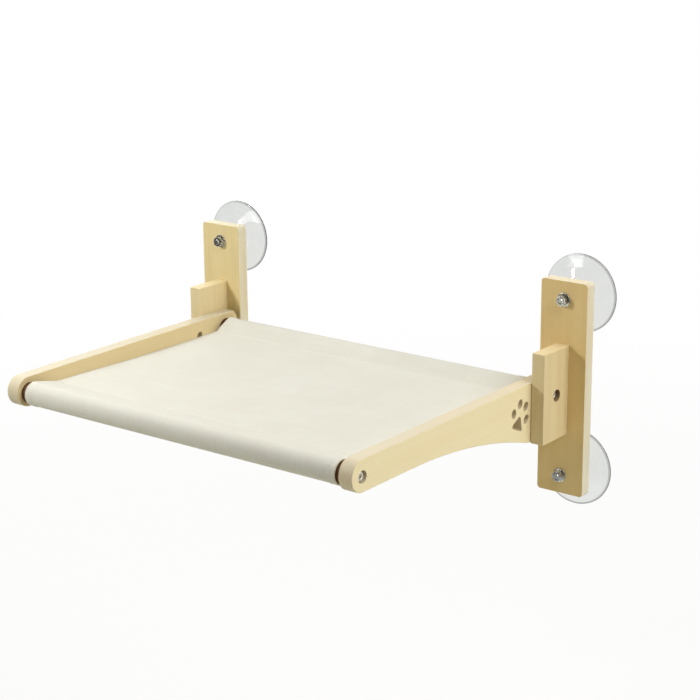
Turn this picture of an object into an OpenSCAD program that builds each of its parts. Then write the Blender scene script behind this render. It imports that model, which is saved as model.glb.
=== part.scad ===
// Folding cat perch that hangs on a window by four suction cups.
// X runs along the window, Y points at the glass and Z points up.
// The origin lies on the glass, in the middle between the four cups.

/* [Uprights] */
// Width over the outer edges of the two uprights
span_w = 520; // [440:5:640]
// Height of each upright
upright_h = 230; // [200:5:300]
// Width of each upright
upright_w = 55; // [46:1:70]
// Thickness of each upright
upright_t = 14; // [10:1:20]
// Radius of the corners of each upright
upright_r = 4; // [1:0.5:8]

/* [Brackets] */
// Height of each bracket block
bracket_h = 96.5; // [88:0.5:110]
// Depth of each bracket block, out from the upright
bracket_d = 47.5; // [40:0.5:60]
// Thickness of each bracket block
bracket_t = 15; // [13:1:18]
// Distance of the pivot from the face of the uprights
pivot_out = 22.5; // [20:0.5:26]
// Height of the pivot above the middle of the uprights
pivot_up = -0.5; // [-4:0.5:8]

/* [Arms] */
// Length of each arm, from the face of the uprights to its round end
arm_len = 349; // [300:1:420]
// Height of the slender front stretch of each arm
arm_h = 32; // [28:0.5:34]
// Height of the middle of that stretch above the pivot
arm_rise = 1; // [0:0.25:3]
// Thickness of each arm
arm_t = 15.5; // [12:0.5:18]
// Distance from the uprights at which the lower edge starts to fall
fall_start = 252; // [225:1:285]
// Length of the level stretch at the foot of each arm
foot_len = 48; // [30:1:54]
// Radius where the falling edge meets the level foot
foot_r = 60; // [20:2:90]
// Radius of the lower rear corner of each arm
heel_r = 6; // [2:0.5:10]
// Width of the paw cut-out over its outer toes
paw_w = 34; // [24:1:38]
// Distance of the paw's pad from the face of the uprights
paw_out = 71; // [68:1:110]
// Distance of the paw's pad below the pivot
paw_drop = 21.5; // [14:0.5:26]
// Lean of the paw towards the window
paw_lean = 26; // [0:1:40]

/* [Dowels] */
// Diameter of the two dowels
dowel_d = 22; // [18:0.5:25]

/* [Sling] */
// Gap between the canvas and each arm
sling_gap = 5; // [2:0.2:20]
// Thickness of the canvas
canvas_t = 1.2; // [0.8:0.1:1.8]
// Room between a dowel and its sleeve
sleeve_ease = 0.3; // [0.2:0.05:1]
// Distance of the front seam from the front dowel's axis
front_seam = 31.5; // [24:0.5:50]
// Distance of the rear seam from the rear dowel's axis
rear_seam = 24; // [21:0.5:45]
// Height of the front seam above the dowels
front_seam_up = 4.2; // [0:0.2:6]
// Height of the rear seam above the dowels
rear_seam_up = 0.9; // [-4:0.1:4]
// Length of the hem past each seam
hem_len = 8; // [4:1:16]

/* [Suction cups] */
// Diameter of each cup
cup_d = 84; // [60:1:96]
// Distance between the glass and the back of the uprights
cup_stand = 20.5; // [16:0.5:26]
// Distance of each cup's axis from the end of its upright
cup_inset = 20; // [14:0.5:30]
// Thickness of the cup at its rim
rim_t = 1.6; // [1:0.1:2.5]
// Width of the flat sealing ring
seal_w = 5; // [3:0.5:9]
// Depth of the hollow of the cup
hollow_depth = 5; // [3:0.5:6]
// Diameter of the cup's neck
neck_d = 20; // [16:0.5:26]
// Length of the neck
neck_len = 7; // [4:0.5:8]

/* [Fasteners] */
// Diameter of the studs and bolts
thread_d = 6; // [5:0.5:8]
// Diameter of the heads of the bolts
head_d = 10; // [9:0.5:11.5]
// Height of the heads of the bolts
head_h = 5; // [3:0.5:6]
// Diameter of the recess round each bolt head
recess_d = 12.6; // [12.5:0.1:15]
// Depth of the recess in the arms
arm_recess = 7; // [5:0.5:9]
// Depth of the recess in the brackets
bracket_recess = 8.5; // [6:0.5:10]
// Size of the hexagon socket across its flats
socket_w = 4; // [3:0.5:5]
// Depth of the hexagon socket
socket_depth = 2.5; // [1.5:0.5:4]
// Thickness of the washers between arms and brackets
spacer_t = 0.6; // [0.5:0.1:1.5]
// Diameter of the washers between arms and brackets
spacer_d = 18; // [14:0.5:24]
// Diameter of the washers under the nuts
washer_d = 15; // [13:0.5:20]
// Thickness of the washers under the nuts
washer_t = 1.5; // [1:0.1:2.5]
// Size of the nuts across their flats
nut_w = 11; // [9:0.5:13]
// Height of the nuts
nut_h = 5; // [4:0.5:6.5]
// Length of stud that shows past the nut
stud_tail = 1; // [0.5:0.5:6]
// Diameter of the plate moulded into the cup
plate_d = 14; // [11:0.5:15]
// Thickness of the plate moulded into the cup
plate_t = 2; // [1:0.5:3]
// Outer diameter of the threaded inserts
insert_d = 9; // [8.5:0.5:11]
// Length of the threaded inserts
insert_len = 13; // [10:0.5:20]
// Length of bolt past the insert
bolt_tip = 3; // [1:0.5:8]
// Diameter of the wood screws that hold the brackets
screw_d = 4.5; // [3.5:0.5:5.5]
// Diameter of the heads of the wood screws
screw_head_d = 9; // [8:0.5:11]
// Length of the wood screws
screw_len = 45; // [30:1:52]
// Distance between the two wood screws of a bracket
screw_pitch = 62; // [50:1:70]

/* [Hidden] */
$fn = 72;

pine = [0.90, 0.76, 0.52];
birch = [0.87, 0.72, 0.48];
canvas = [0.93, 0.89, 0.80];
zinc = [0.78, 0.79, 0.80];
brass = [0.80, 0.66, 0.36];
clear = [0.90, 0.93, 0.93, 0.45];
nylon = [0.95, 0.95, 0.92];

// Overrun of the cuts past the faces that they open
cut = 1;
// Radial room round threads, inserts and the pivot's shank
thread_fit = 0.05;
// Radial room round studs and bolts that pass through wood
pass_fit = 0.25;
// Gap between the heel of the arms and the uprights
heel_gap = 0.3;

// Faces across the depth, measured from the glass
back_y = -cup_stand;
face_y = back_y - upright_t;
pivot_y = face_y - pivot_out;
front_y = face_y - arm_len + arm_h / 2;

// Faces across the width, on the right-hand side
upright_x = (span_w - upright_w) / 2;
bracket_out_x = upright_x + bracket_t / 2;
bracket_in_x = upright_x - bracket_t / 2;
arm_out_x = bracket_in_x - spacer_t;
arm_in_x = arm_out_x - arm_t;
sling_x = arm_in_x - sling_gap;

// Heights
pivot_z = pivot_up;
arm_mid_z = pivot_z + arm_rise;
arm_low_z = arm_mid_z - arm_h / 2;
foot_z = -bracket_h / 2;
cup_z = upright_h / 2 - cup_inset;

// Radii
thread_r = thread_d / 2;
dowel_r = dowel_d / 2;
cup_r = cup_d / 2;
neck_r = neck_d / 2;
sleeve_in_r = dowel_r + sleeve_ease;
sleeve_out_r = sleeve_in_r + canvas_t;

// Lengths along the studs and bolts
shoulder_z = cup_stand - neck_len;
plate_z = (hollow_depth + shoulder_z - plate_t) / 2;
stud_end_z = cup_stand + upright_t + washer_t + nut_h + stud_tail;
front_bolt_len = arm_t - arm_recess + insert_len + bolt_tip;
pivot_bolt_len = bracket_t - bracket_recess + spacer_t + arm_t + insert_len + bolt_tip;
screw_head_h = (screw_head_d - screw_d) / 2;

// Steps of the curves that are drawn point by point
dome_steps = 14;
hollow_steps = 10;
toe_steps = 28;
sleeve_steps = 48;
turn_steps = 12;
end_steps = 40;
fall_steps = 24;
heel_steps = 8;

// Shape of the paw, in shares of its width
toe_w_share = 0.24;
toe_h_share = 0.31;
outer_toe_shares = [0.38, 0.25];
inner_toe_shares = [0.175, 0.60];
pad_tip_shares = [0, 0.156];
pad_tip_r_share = 0.088;
pad_lobe_shares = [0.218, -0.103];
pad_lobe_r_share = 0.065;
outer_toe_lean = 22;
inner_toe_lean = 8;

// Share by which the back of the cup bellies between its rim and neck
dome_share = 0.55;
// Share of the way to its seam that the hollow of a sleeve reaches
seam_share = 0.94;

// Turns a piece drawn on the right into its twin on the left
module on_side(side) {
    mirror([side < 0 ? 1 : 0, 0, 0]) children();
}

// Extrudes an outline of the Y and Z plane along X; its Y counts from the face of the uprights
module board(x, t) {
    translate([x, face_y, 0]) rotate([90, 0, 90]) linear_extrude(height = t) children();
}

// Cylinder along X, from x inwards, on the axis at y and z
module rod_x(x, y, z, r, len) {
    translate([x, y, z]) rotate([0, -90, 0]) cylinder(r = r, h = len);
}

// Puts children drawn along Z, from the glass into the room, on a cup's axis
module on_cup_axis(level) {
    translate([upright_x, 0, level * cup_z]) rotate([90, 0, 0]) children();
}

// Rectangle with round corners, centred
module round_rect(w, h, r) {
    square([w - 2 * r, h], center = true);
    square([w, h - 2 * r], center = true);
    for (sx = [-1, 1], sy = [-1, 1])
        translate([sx * (w / 2 - r), sy * (h / 2 - r)]) circle(r = r);
}

// Points of an arc round middle, from angle a to angle b
function arc(middle, r, a, b, steps) =
    [for (i = [0 : steps]) let (t = a + (b - a) * i / steps) middle + r * [cos(t), sin(t)]];

// Angle at which the tangent from p touches a circle of radius r round the origin, on side s
function tangent_angle(p, r, s) =
    (p.x > 0 ? 0 : 180) + atan(p.y / p.x) + s * acos(r / norm(p));

// Uprights

module upright(side) {
    color(pine) on_side(side) difference() {
        translate([upright_x, back_y, 0]) rotate([90, 0, 0])
            linear_extrude(height = upright_t) round_rect(upright_w, upright_h, upright_r);
        for (level = [-1, 1])
            on_cup_axis(level) translate([0, 0, cup_stand - cut])
                cylinder(r = thread_r + pass_fit, h = upright_t + 2 * cut);
        bracket_screw_shapes(thread_fit);
    }
}

// Brackets

module bracket(side) {
    color(pine) on_side(side) difference() {
        translate([bracket_in_x, face_y - bracket_d, -bracket_h / 2])
            cube([bracket_t, bracket_d, bracket_h]);
        rod_x(bracket_out_x + cut, pivot_y, pivot_z, thread_r + thread_fit, bracket_t + 2 * cut);
        rod_x(bracket_out_x + cut, pivot_y, pivot_z, recess_d / 2, bracket_recess + cut);
        bracket_screw_shapes(thread_fit);
    }
}

// The two wood screws of a bracket, grown by fit all round
module bracket_screw_shapes(fit) {
    for (s = [-1, 1])
        translate([upright_x, back_y + fit, s * screw_pitch / 2]) rotate([90, 0, 0]) {
            cylinder(r = screw_d / 2 + fit, h = screw_len + 2 * fit);
            cylinder(r1 = screw_head_d / 2 + fit, r2 = screw_d / 2 + fit, h = screw_head_h + fit);
        }
}

module bracket_screws(side) {
    color(zinc) on_side(side) bracket_screw_shapes(0);
}

// Arms

// Side of an arm, with its straight top, falling lower edge and level foot; the falling edge
// is the circle that leaves the slender stretch level and runs through the front of the foot
module arm_outline() {
    rear_y = -heel_gap;
    turn_r = pivot_out - heel_gap;
    run = fall_start - foot_len;
    drop = arm_low_z - foot_z;
    fall_r = (run * run + drop * drop) / (2 * drop);
    fall_middle = [-fall_start, arm_low_z - fall_r];
    fall_end = asin(1 - drop / (fall_r + foot_r));
    foot_middle = fall_middle + (fall_r + foot_r) * [cos(fall_end), sin(fall_end)];
    polygon(concat(
        arc([-pivot_out, pivot_z], turn_r, 0, asin((arm_rise + arm_h / 2) / turn_r), turn_steps),
        arc([-arm_len + arm_h / 2, arm_mid_z], arm_h / 2, 90, 270, end_steps),
        arc(fall_middle, fall_r, 90, fall_end, fall_steps),
        arc(foot_middle, foot_r, 180 + fall_end, 270, heel_steps),
        arc([rear_y - heel_r, foot_z + heel_r], heel_r, 270, 360, heel_steps)
    ));
}

function oval(w, h, steps) =
    [for (i = [0 : steps - 1]) [w / 2 * cos(360 * i / steps), h / 2 * sin(360 * i / steps)]];

// Three-cornered pad with its tip towards the toes
module pad() {
    hull() {
        translate(paw_w * pad_tip_shares) circle(r = paw_w * pad_tip_r_share, $fn = 32);
        for (s = [0, 1]) mirror([s, 0])
            translate(paw_w * pad_lobe_shares) circle(r = paw_w * pad_lobe_r_share, $fn = 32);
    }
}

module toe(place_shares, lean) {
    translate(paw_w * place_shares) rotate(-lean)
        polygon(oval(toe_w_share * paw_w, toe_h_share * paw_w, toe_steps));
}

module paw() {
    pad();
    for (s = [0, 1]) mirror([s, 0]) {
        toe(outer_toe_shares, outer_toe_lean);
        toe(inner_toe_shares, inner_toe_lean);
    }
}

module arm(side) {
    color(birch) on_side(side) difference() {
        board(arm_in_x, arm_t) arm_outline();
        board(arm_in_x - cut, arm_t + 2 * cut)
            translate([-paw_out, pivot_z - paw_drop]) rotate(-paw_lean) paw();
        for (y = [front_y, pivot_y])
            rod_x(arm_out_x + cut, y, pivot_z, thread_r + pass_fit, arm_t + 2 * cut);
        rod_x(arm_out_x + cut, front_y, pivot_z, recess_d / 2, arm_recess + cut);
    }
}

// Dowels, with the holes for an insert and the tip of its bolt in each end

module dowel(y) {
    color(birch) difference() {
        rod_x(arm_in_x, y, pivot_z, dowel_r, 2 * arm_in_x);
        for (side = [-1, 1]) on_side(side) {
            rod_x(arm_in_x + cut, y, pivot_z, insert_d / 2 + thread_fit, insert_len + cut);
            rod_x(arm_in_x + cut, y, pivot_z, thread_r + pass_fit, insert_len + 2 * bolt_tip + cut);
        }
    }
}

module insert(side, y) {
    color(brass) on_side(side) difference() {
        rod_x(arm_in_x, y, pivot_z, insert_d / 2, insert_len);
        rod_x(arm_in_x + cut, y, pivot_z, thread_r + thread_fit, insert_len + 2 * cut);
    }
}

// Bolts, with a hexagon socket in a round head

module bolt(side, head_x, y, shank_len) {
    color(zinc) on_side(side) difference() {
        union() {
            rod_x(head_x, y, pivot_z, head_d / 2, head_h);
            rod_x(head_x - head_h, y, pivot_z, thread_r, shank_len);
        }
        translate([head_x + cut, y, pivot_z]) rotate([0, -90, 0])
            cylinder(d = socket_w / cos(30), h = socket_depth + cut, $fn = 6);
    }
}

module front_bolt(side) {
    bolt(side, arm_out_x - arm_recess + head_h, front_y, front_bolt_len);
}

module pivot_bolt(side) {
    bolt(side, bracket_out_x - bracket_recess + head_h, pivot_y, pivot_bolt_len);
}

module pivot_washer(side) {
    color(nylon) on_side(side) difference() {
        rod_x(bracket_in_x, pivot_y, pivot_z, spacer_d / 2, spacer_t);
        rod_x(bracket_in_x + cut, pivot_y, pivot_z, thread_r + pass_fit, spacer_t + 2 * cut);
    }
}

// Sling

function reversed(points) = [for (i = [len(points) - 1 : -1 : 0]) points[i]];

// Line of a sleeve from its upper layer at the seam, round the dowel, to its lower layer;
// tip is the seam as seen from the dowel's axis, and s is 1 at the front and -1 at the rear
function sleeve_path(axis, tip, r, half, s) =
    let (
        upper = tip + [0, half],
        lower = tip - [0, half],
        start = tangent_angle(upper, r, s),
        sweep = 360 - s * (start - tangent_angle(lower, r, -s))
    )
    concat(
        [axis + upper],
        [for (i = [0 : sleeve_steps])
            let (a = start + s * sweep * i / sleeve_steps) axis + r * [cos(a), sin(a)]],
        half > 0 ? [axis + lower] : []
    );

module sling_outline() {
    front_axis = [-arm_len + arm_h / 2, pivot_z];
    rear_axis = [-pivot_out, pivot_z];
    front_tip = [front_seam, front_seam_up];
    rear_tip = [-rear_seam, rear_seam_up];
    along = rear_axis + rear_tip - front_axis - front_tip;
    hem = hem_len * along / norm(along);
    up = [0, canvas_t];
    difference() {
        polygon(concat(
            sleeve_path(front_axis, front_tip, sleeve_out_r, canvas_t, 1),
            [
                front_axis + front_tip + hem - up, front_axis + front_tip + hem,
                rear_axis + rear_tip - hem, rear_axis + rear_tip - hem - up
            ],
            reversed(sleeve_path(rear_axis, rear_tip, sleeve_out_r, canvas_t, -1))
        ));
        polygon(sleeve_path(front_axis, seam_share * front_tip, sleeve_in_r, 0, 1));
        polygon(sleeve_path(rear_axis, seam_share * rear_tip, sleeve_in_r, 0, -1));
    }
}

module sling() {
    color(canvas) board(-sling_x, 2 * sling_x) sling_outline();
}

// Suction cups

// Half section of a cup: radius across, distance from the glass up
function cup_section() = concat(
    [[cup_r, 0], [cup_r, rim_t]],
    [for (i = [1 : dome_steps])
        let (t = i / dome_steps, rise = t * (1 - dome_share) + dome_share * (1 - cos(90 * t)))
        [cup_r + (neck_r - cup_r) * t, rim_t + (shoulder_z - rim_t) * rise]],
    [[neck_r, cup_stand], [0, cup_stand], [0, hollow_depth]],
    [for (i = [1 : hollow_steps])
        let (t = i / hollow_steps)
        [(cup_r - seal_w) * t, hollow_depth * (1 - t * t)]]
);

module cup(side, level) {
    color(clear) on_side(side) on_cup_axis(level) difference() {
        rotate_extrude($fn = 120) polygon(cup_section());
        stud_shape(thread_fit);
    }
}

// Stud with the plate that is moulded into the cup, grown by fit all round
module stud_shape(fit) {
    translate([0, 0, plate_z - fit]) {
        cylinder(r = plate_d / 2 + fit, h = plate_t + 2 * fit);
        cylinder(r = thread_r + fit, h = stud_end_z - plate_z + fit);
    }
}

module stud(side, level) {
    color(zinc) on_side(side) on_cup_axis(level) stud_shape(0);
}

module washer(side, level) {
    color(zinc) on_side(side) on_cup_axis(level)
        translate([0, 0, cup_stand + upright_t]) difference() {
            cylinder(d = washer_d, h = washer_t);
            translate([0, 0, -cut]) cylinder(r = thread_r + pass_fit, h = washer_t + 2 * cut);
        }
}

module nut(side, level) {
    color(zinc) on_side(side) on_cup_axis(level)
        translate([0, 0, cup_stand + upright_t + washer_t]) difference() {
            cylinder(d = nut_w / cos(30), h = nut_h, $fn = 6);
            translate([0, 0, -cut]) cylinder(r = thread_r + thread_fit, h = nut_h + 2 * cut);
        }
}

upright(-1);  // left_upright
upright(1);  // right_upright
bracket(-1);  // left_bracket
bracket(1);  // right_bracket
bracket_screws(-1);  // left_bracket_screws
bracket_screws(1);  // right_bracket_screws
arm(-1);  // left_arm
arm(1);  // right_arm
dowel(front_y);  // front_dowel
dowel(pivot_y);  // rear_dowel
insert(-1, front_y);  // left_front_insert
insert(1, front_y);  // right_front_insert
insert(-1, pivot_y);  // left_rear_insert
insert(1, pivot_y);  // right_rear_insert
front_bolt(-1);  // left_front_bolt
front_bolt(1);  // right_front_bolt
pivot_bolt(-1);  // left_pivot_bolt
pivot_bolt(1);  // right_pivot_bolt
pivot_washer(-1);  // left_pivot_washer
pivot_washer(1);  // right_pivot_washer
sling();
cup(-1, 1);  // left_top_cup
cup(1, 1);  // right_top_cup
cup(-1, -1);  // left_bottom_cup
cup(1, -1);  // right_bottom_cup
stud(-1, 1);  // left_top_stud
stud(1, 1);  // right_top_stud
stud(-1, -1);  // left_bottom_stud
stud(1, -1);  // right_bottom_stud
washer(-1, 1);  // left_top_washer
washer(1, 1);  // right_top_washer
washer(-1, -1);  // left_bottom_washer
washer(1, -1);  // right_bottom_washer
nut(-1, 1);  // left_top_nut
nut(1, 1);  // right_top_nut
nut(-1, -1);  // left_bottom_nut
nut(1, -1);  // right_bottom_nut
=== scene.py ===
"""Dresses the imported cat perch: eased boards, a canvas sling, clear cups and threaded hardware."""

import logging
import math
from bisect import bisect_left
from collections.abc import Callable, Iterable, Sequence
from dataclasses import dataclass, field
from enum import Enum
from functools import cache
from itertools import accumulate, pairwise

import bmesh
import bpy
from mathutils import Matrix, Vector, noise


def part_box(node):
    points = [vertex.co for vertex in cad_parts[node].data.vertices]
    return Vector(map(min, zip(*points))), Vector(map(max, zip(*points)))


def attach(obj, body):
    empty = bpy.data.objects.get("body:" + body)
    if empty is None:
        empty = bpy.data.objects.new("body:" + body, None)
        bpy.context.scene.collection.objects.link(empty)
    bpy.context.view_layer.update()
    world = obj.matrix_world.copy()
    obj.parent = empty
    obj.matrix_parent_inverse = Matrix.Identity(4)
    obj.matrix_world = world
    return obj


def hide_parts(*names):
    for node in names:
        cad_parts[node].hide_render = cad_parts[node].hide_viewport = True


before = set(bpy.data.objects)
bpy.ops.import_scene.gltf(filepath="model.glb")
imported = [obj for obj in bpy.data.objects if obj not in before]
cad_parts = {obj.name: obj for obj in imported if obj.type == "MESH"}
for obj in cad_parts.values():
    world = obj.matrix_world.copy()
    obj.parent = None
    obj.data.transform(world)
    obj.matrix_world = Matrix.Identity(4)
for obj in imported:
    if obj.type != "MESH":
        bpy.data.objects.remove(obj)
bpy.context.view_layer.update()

LOG = logging.getLogger("cat_perch")

MM = 0.001
TINY = 1e-7
QUARTER = math.pi / 2

Triple = tuple[float, float, float]
Colour = Triple
Pair = tuple[float, float]
Ring = Pair | Callable[[float], Pair]
Socket = bpy.types.NodeSocket
Tree = bpy.types.NodeTree
Material = bpy.types.Material
Object = bpy.types.Object
Mesh = bmesh.types.BMesh


class Side(Enum):
    """The two sides of the perch, as seen from the room."""

    LEFT = "left"
    RIGHT = "right"

    @property
    def sign(self) -> int:
        """Direction of this side along X."""
        return -1 if self is Side.LEFT else 1


class Level(Enum):
    """The upper and the lower row of suction cups."""

    TOP = "top"
    BOTTOM = "bottom"


class Body(Enum):
    """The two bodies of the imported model."""

    FRAME = "window_frame"
    PERCH = "perch"


class Way(Enum):
    """The way that the fibres of a board run, or that its broad faces look."""

    ALONG_X = 0
    ALONG_Y = 1
    ALONG_Z = 2

    @property
    def turn(self) -> Triple:
        """Rotation that brings this way upright."""
        return ((0, -QUARTER, 0), (QUARTER, 0, 0), (0, 0, 0))[self.value]

    @property
    def axis(self) -> tuple[float, ...]:
        """Unit vector along this way."""
        return tuple(float(i == self.value) for i in range(3))


# Node trees


class Graph:
    """Adds the nodes of one tree and links them."""

    def __init__(self, tree: Tree) -> None:
        """Takes the tree that the nodes go into."""
        self.tree = tree

    def feed(self, socket: Socket, value: object) -> None:
        """Links a socket, or sets its value.

        Args:
            socket: the input.
            value: another socket or a plain value, where a colour has three numbers.
        """
        if isinstance(value, Socket):
            self.tree.links.new(value, socket)
        else:
            socket.default_value = (*value, 1.0) if socket.type == "RGBA" else value

    def add(self, kind: str, inputs: dict | None = None, **settings: object) -> bpy.types.Node:
        """Adds a node.

        Args:
            kind: Blender's name for the type of node.
            inputs: values or sockets, by the name or number of the input.
            settings: the node's own properties.

        Returns:
            The new node.
        """
        node = self.tree.nodes.new(kind)
        for key, value in settings.items():
            setattr(node, key, value)
        for key, value in (inputs or {}).items():
            self.feed(node.inputs[key], value)
        return node

    def out(self, kind: str, inputs: dict | None = None, **settings: object) -> Socket:
        """The first output of a new node."""
        return self.add(kind, inputs, **settings).outputs[0]

    def math(self, operation: str, *values: object) -> Socket:
        """Computes a number from one, two or three others."""
        return self.out("ShaderNodeMath", dict(enumerate(values)), operation=operation)

    def vector(self, operation: str, *values: object) -> Socket:
        """Computes a vector from others."""
        return self.out("ShaderNodeVectorMath", dict(enumerate(values)), operation=operation)

    def measure(self, operation: str, *values: object) -> Socket:
        """Computes a number from vectors."""
        node = self.add("ShaderNodeVectorMath", dict(enumerate(values)), operation=operation)
        return node.outputs["Value"]

    def scaled(self, vector: Socket, factor: object) -> Socket:
        """Multiplies a vector by a number."""
        return self.out("ShaderNodeVectorMath", {0: vector, "Scale": factor}, operation="SCALE")

    def spread(
        self, value: Socket, low: float, high: float, start: float = 0.0, end: float = 1.0
    ) -> Socket:
        """Maps a range of numbers smoothly to another.

        Args:
            value: the number to map.
            low: the number that gives start.
            high: the number that gives end.
            start: the result at low and below.
            end: the result at high and above.

        Returns:
            The mapped number.
        """
        return self.out("ShaderNodeMapRange", {
            "Value": value, "From Min": low, "From Max": high, "To Min": start, "To Max": end,
        }, interpolation_type="SMOOTHSTEP")

    def grainy(self, vector: Socket, scale: Sequence[float], detail: float, seed: float) -> Socket:
        """Noise from 0 to 1 that is stretched along the axes.

        Args:
            vector: the place on the piece.
            scale: waves in a metre along each axis.
            detail: octaves of finer noise.
            seed: shift that gives each use its own pattern.

        Returns:
            The noise.
        """
        place = self.vector("MULTIPLY_ADD", vector, scale, (seed, seed, seed))
        return self.out("ShaderNodeTexNoise", {"Vector": place, "Scale": 1.0, "Detail": detail})

    def blend(self, share: Socket, first: object, second: object) -> Socket:
        """Mixes two colours by the share of the second."""
        mix = self.add("ShaderNodeMix", {0: share, 6: first, 7: second}, data_type="RGBA")
        return mix.outputs[2]

    def effect(self, build: Callable[[], Tree], inputs: dict) -> bpy.types.Node:
        """Places a shared effect with its own values."""
        return self.add("ShaderNodeGroup", inputs, node_tree=build())

    def uneven(self, place: Socket, scale: float, low: float = 0.0, high: float = 1.0) -> Socket:
        """A number that wanders between two limits over the surface."""
        limits = {"Vector": place, "Scale": scale, "Low": low, "High": high}
        return self.effect(Effects.handling, limits).outputs[0]

    def grown(self, geometry: Socket, given: dict, result: dict) -> Tree:
        """Ends a geometry tree with real, smooth faces that have the given finish.

        Args:
            geometry: what the tree has made.
            given: its inputs.
            result: its outputs.

        Returns:
            The tree.
        """
        for kind in ("GeometryNodeRealizeInstances", "GeometryNodeSetShadeSmooth"):
            geometry = self.out(kind, {"Geometry": geometry})
        done = {"Geometry": geometry, "Material": given["Finish"]}
        self.feed(result["Geometry"], self.out("GeometryNodeSetMaterial", done))
        return self.tree


class Surface(Graph):
    """The graph of one material with its Principled shader."""

    def __init__(self, name: str, **constants: object) -> None:
        """Makes the material.

        Args:
            name: what it covers.
            constants: plain values for the shader's sockets, with _ for each space of their names.
        """
        self.material = bpy.data.materials.new(f"{name}_finish")
        self.material.use_nodes = True
        super().__init__(self.material.node_tree)
        self.shader = next(n for n in self.tree.nodes if n.type == "BSDF_PRINCIPLED")
        for socket, value in constants.items():
            self.feed(self.shader.inputs[socket.replace("_", " ")], value)

    def place(self) -> Socket:
        """The place on the piece."""
        return self.add("ShaderNodeTexCoord").outputs["Object"]

    def mark(self, name: str) -> Socket:
        """A number that the piece's mesh carries."""
        return self.add("ShaderNodeAttribute", attribute_name=name).outputs["Fac"]

    def finished(
        self, colour: Socket, roughness: Socket, relief: Socket | None = None,
        strength: float = 0.0, depth: float = 0.0,
    ) -> Material:
        """Feeds the shader.

        Args:
            colour: the base colour.
            roughness: the roughness.
            relief: the height of the surface, where it isn't smooth.
            strength: how much of the relief shows.
            depth: of the relief.

        Returns:
            The material.
        """
        self.feed(self.shader.inputs["Base Color"], colour)
        self.feed(self.shader.inputs["Roughness"], roughness)
        if relief is not None:
            bump = {"Height": relief, "Strength": strength, "Distance": depth}
            self.feed(self.shader.inputs["Normal"], self.out("ShaderNodeBump", bump))
        return self.material


def linear(red: float, green: float, blue: float) -> Colour:
    """A colour as it is written, from 0 to 255, in the linear numbers that shaders take."""
    shares = (red / 255, green / 255, blue / 255)
    return tuple(s / 12.92 if s <= 0.04045 else ((s + 0.055) / 1.055) ** 2.4 for s in shares)


def new_tree(
    name: str, inputs: str, outputs: str, kind: str = "ShaderNodeTree"
) -> tuple[Graph, dict, dict]:
    """Makes an empty node group.

    Args:
        name: the group's name.
        inputs: the names of its inputs, each after its type and a colon where that isn't Float.
        outputs: the names of its outputs, in the same way.
        kind: Blender's name for the type of tree.

    Returns:
        The graph, its input sockets by name, and the group output's sockets by name.
    """
    tree = bpy.data.node_groups.new(name, kind)
    ends = []
    for in_out, words in (("INPUT", inputs), ("OUTPUT", outputs)):
        for word in words.split():
            socket_type, _, socket = word.rpartition(":")
            tree.interface.new_socket(
                name=socket, in_out=in_out, socket_type=f"NodeSocket{socket_type or 'Float'}"
            )
        node = tree.nodes.new(f"NodeGroup{in_out.title()}")
        sockets = node.outputs if in_out == "INPUT" else node.inputs
        ends.append({socket.name: socket for socket in sockets if socket.name})
    return Graph(tree), *ends


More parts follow.
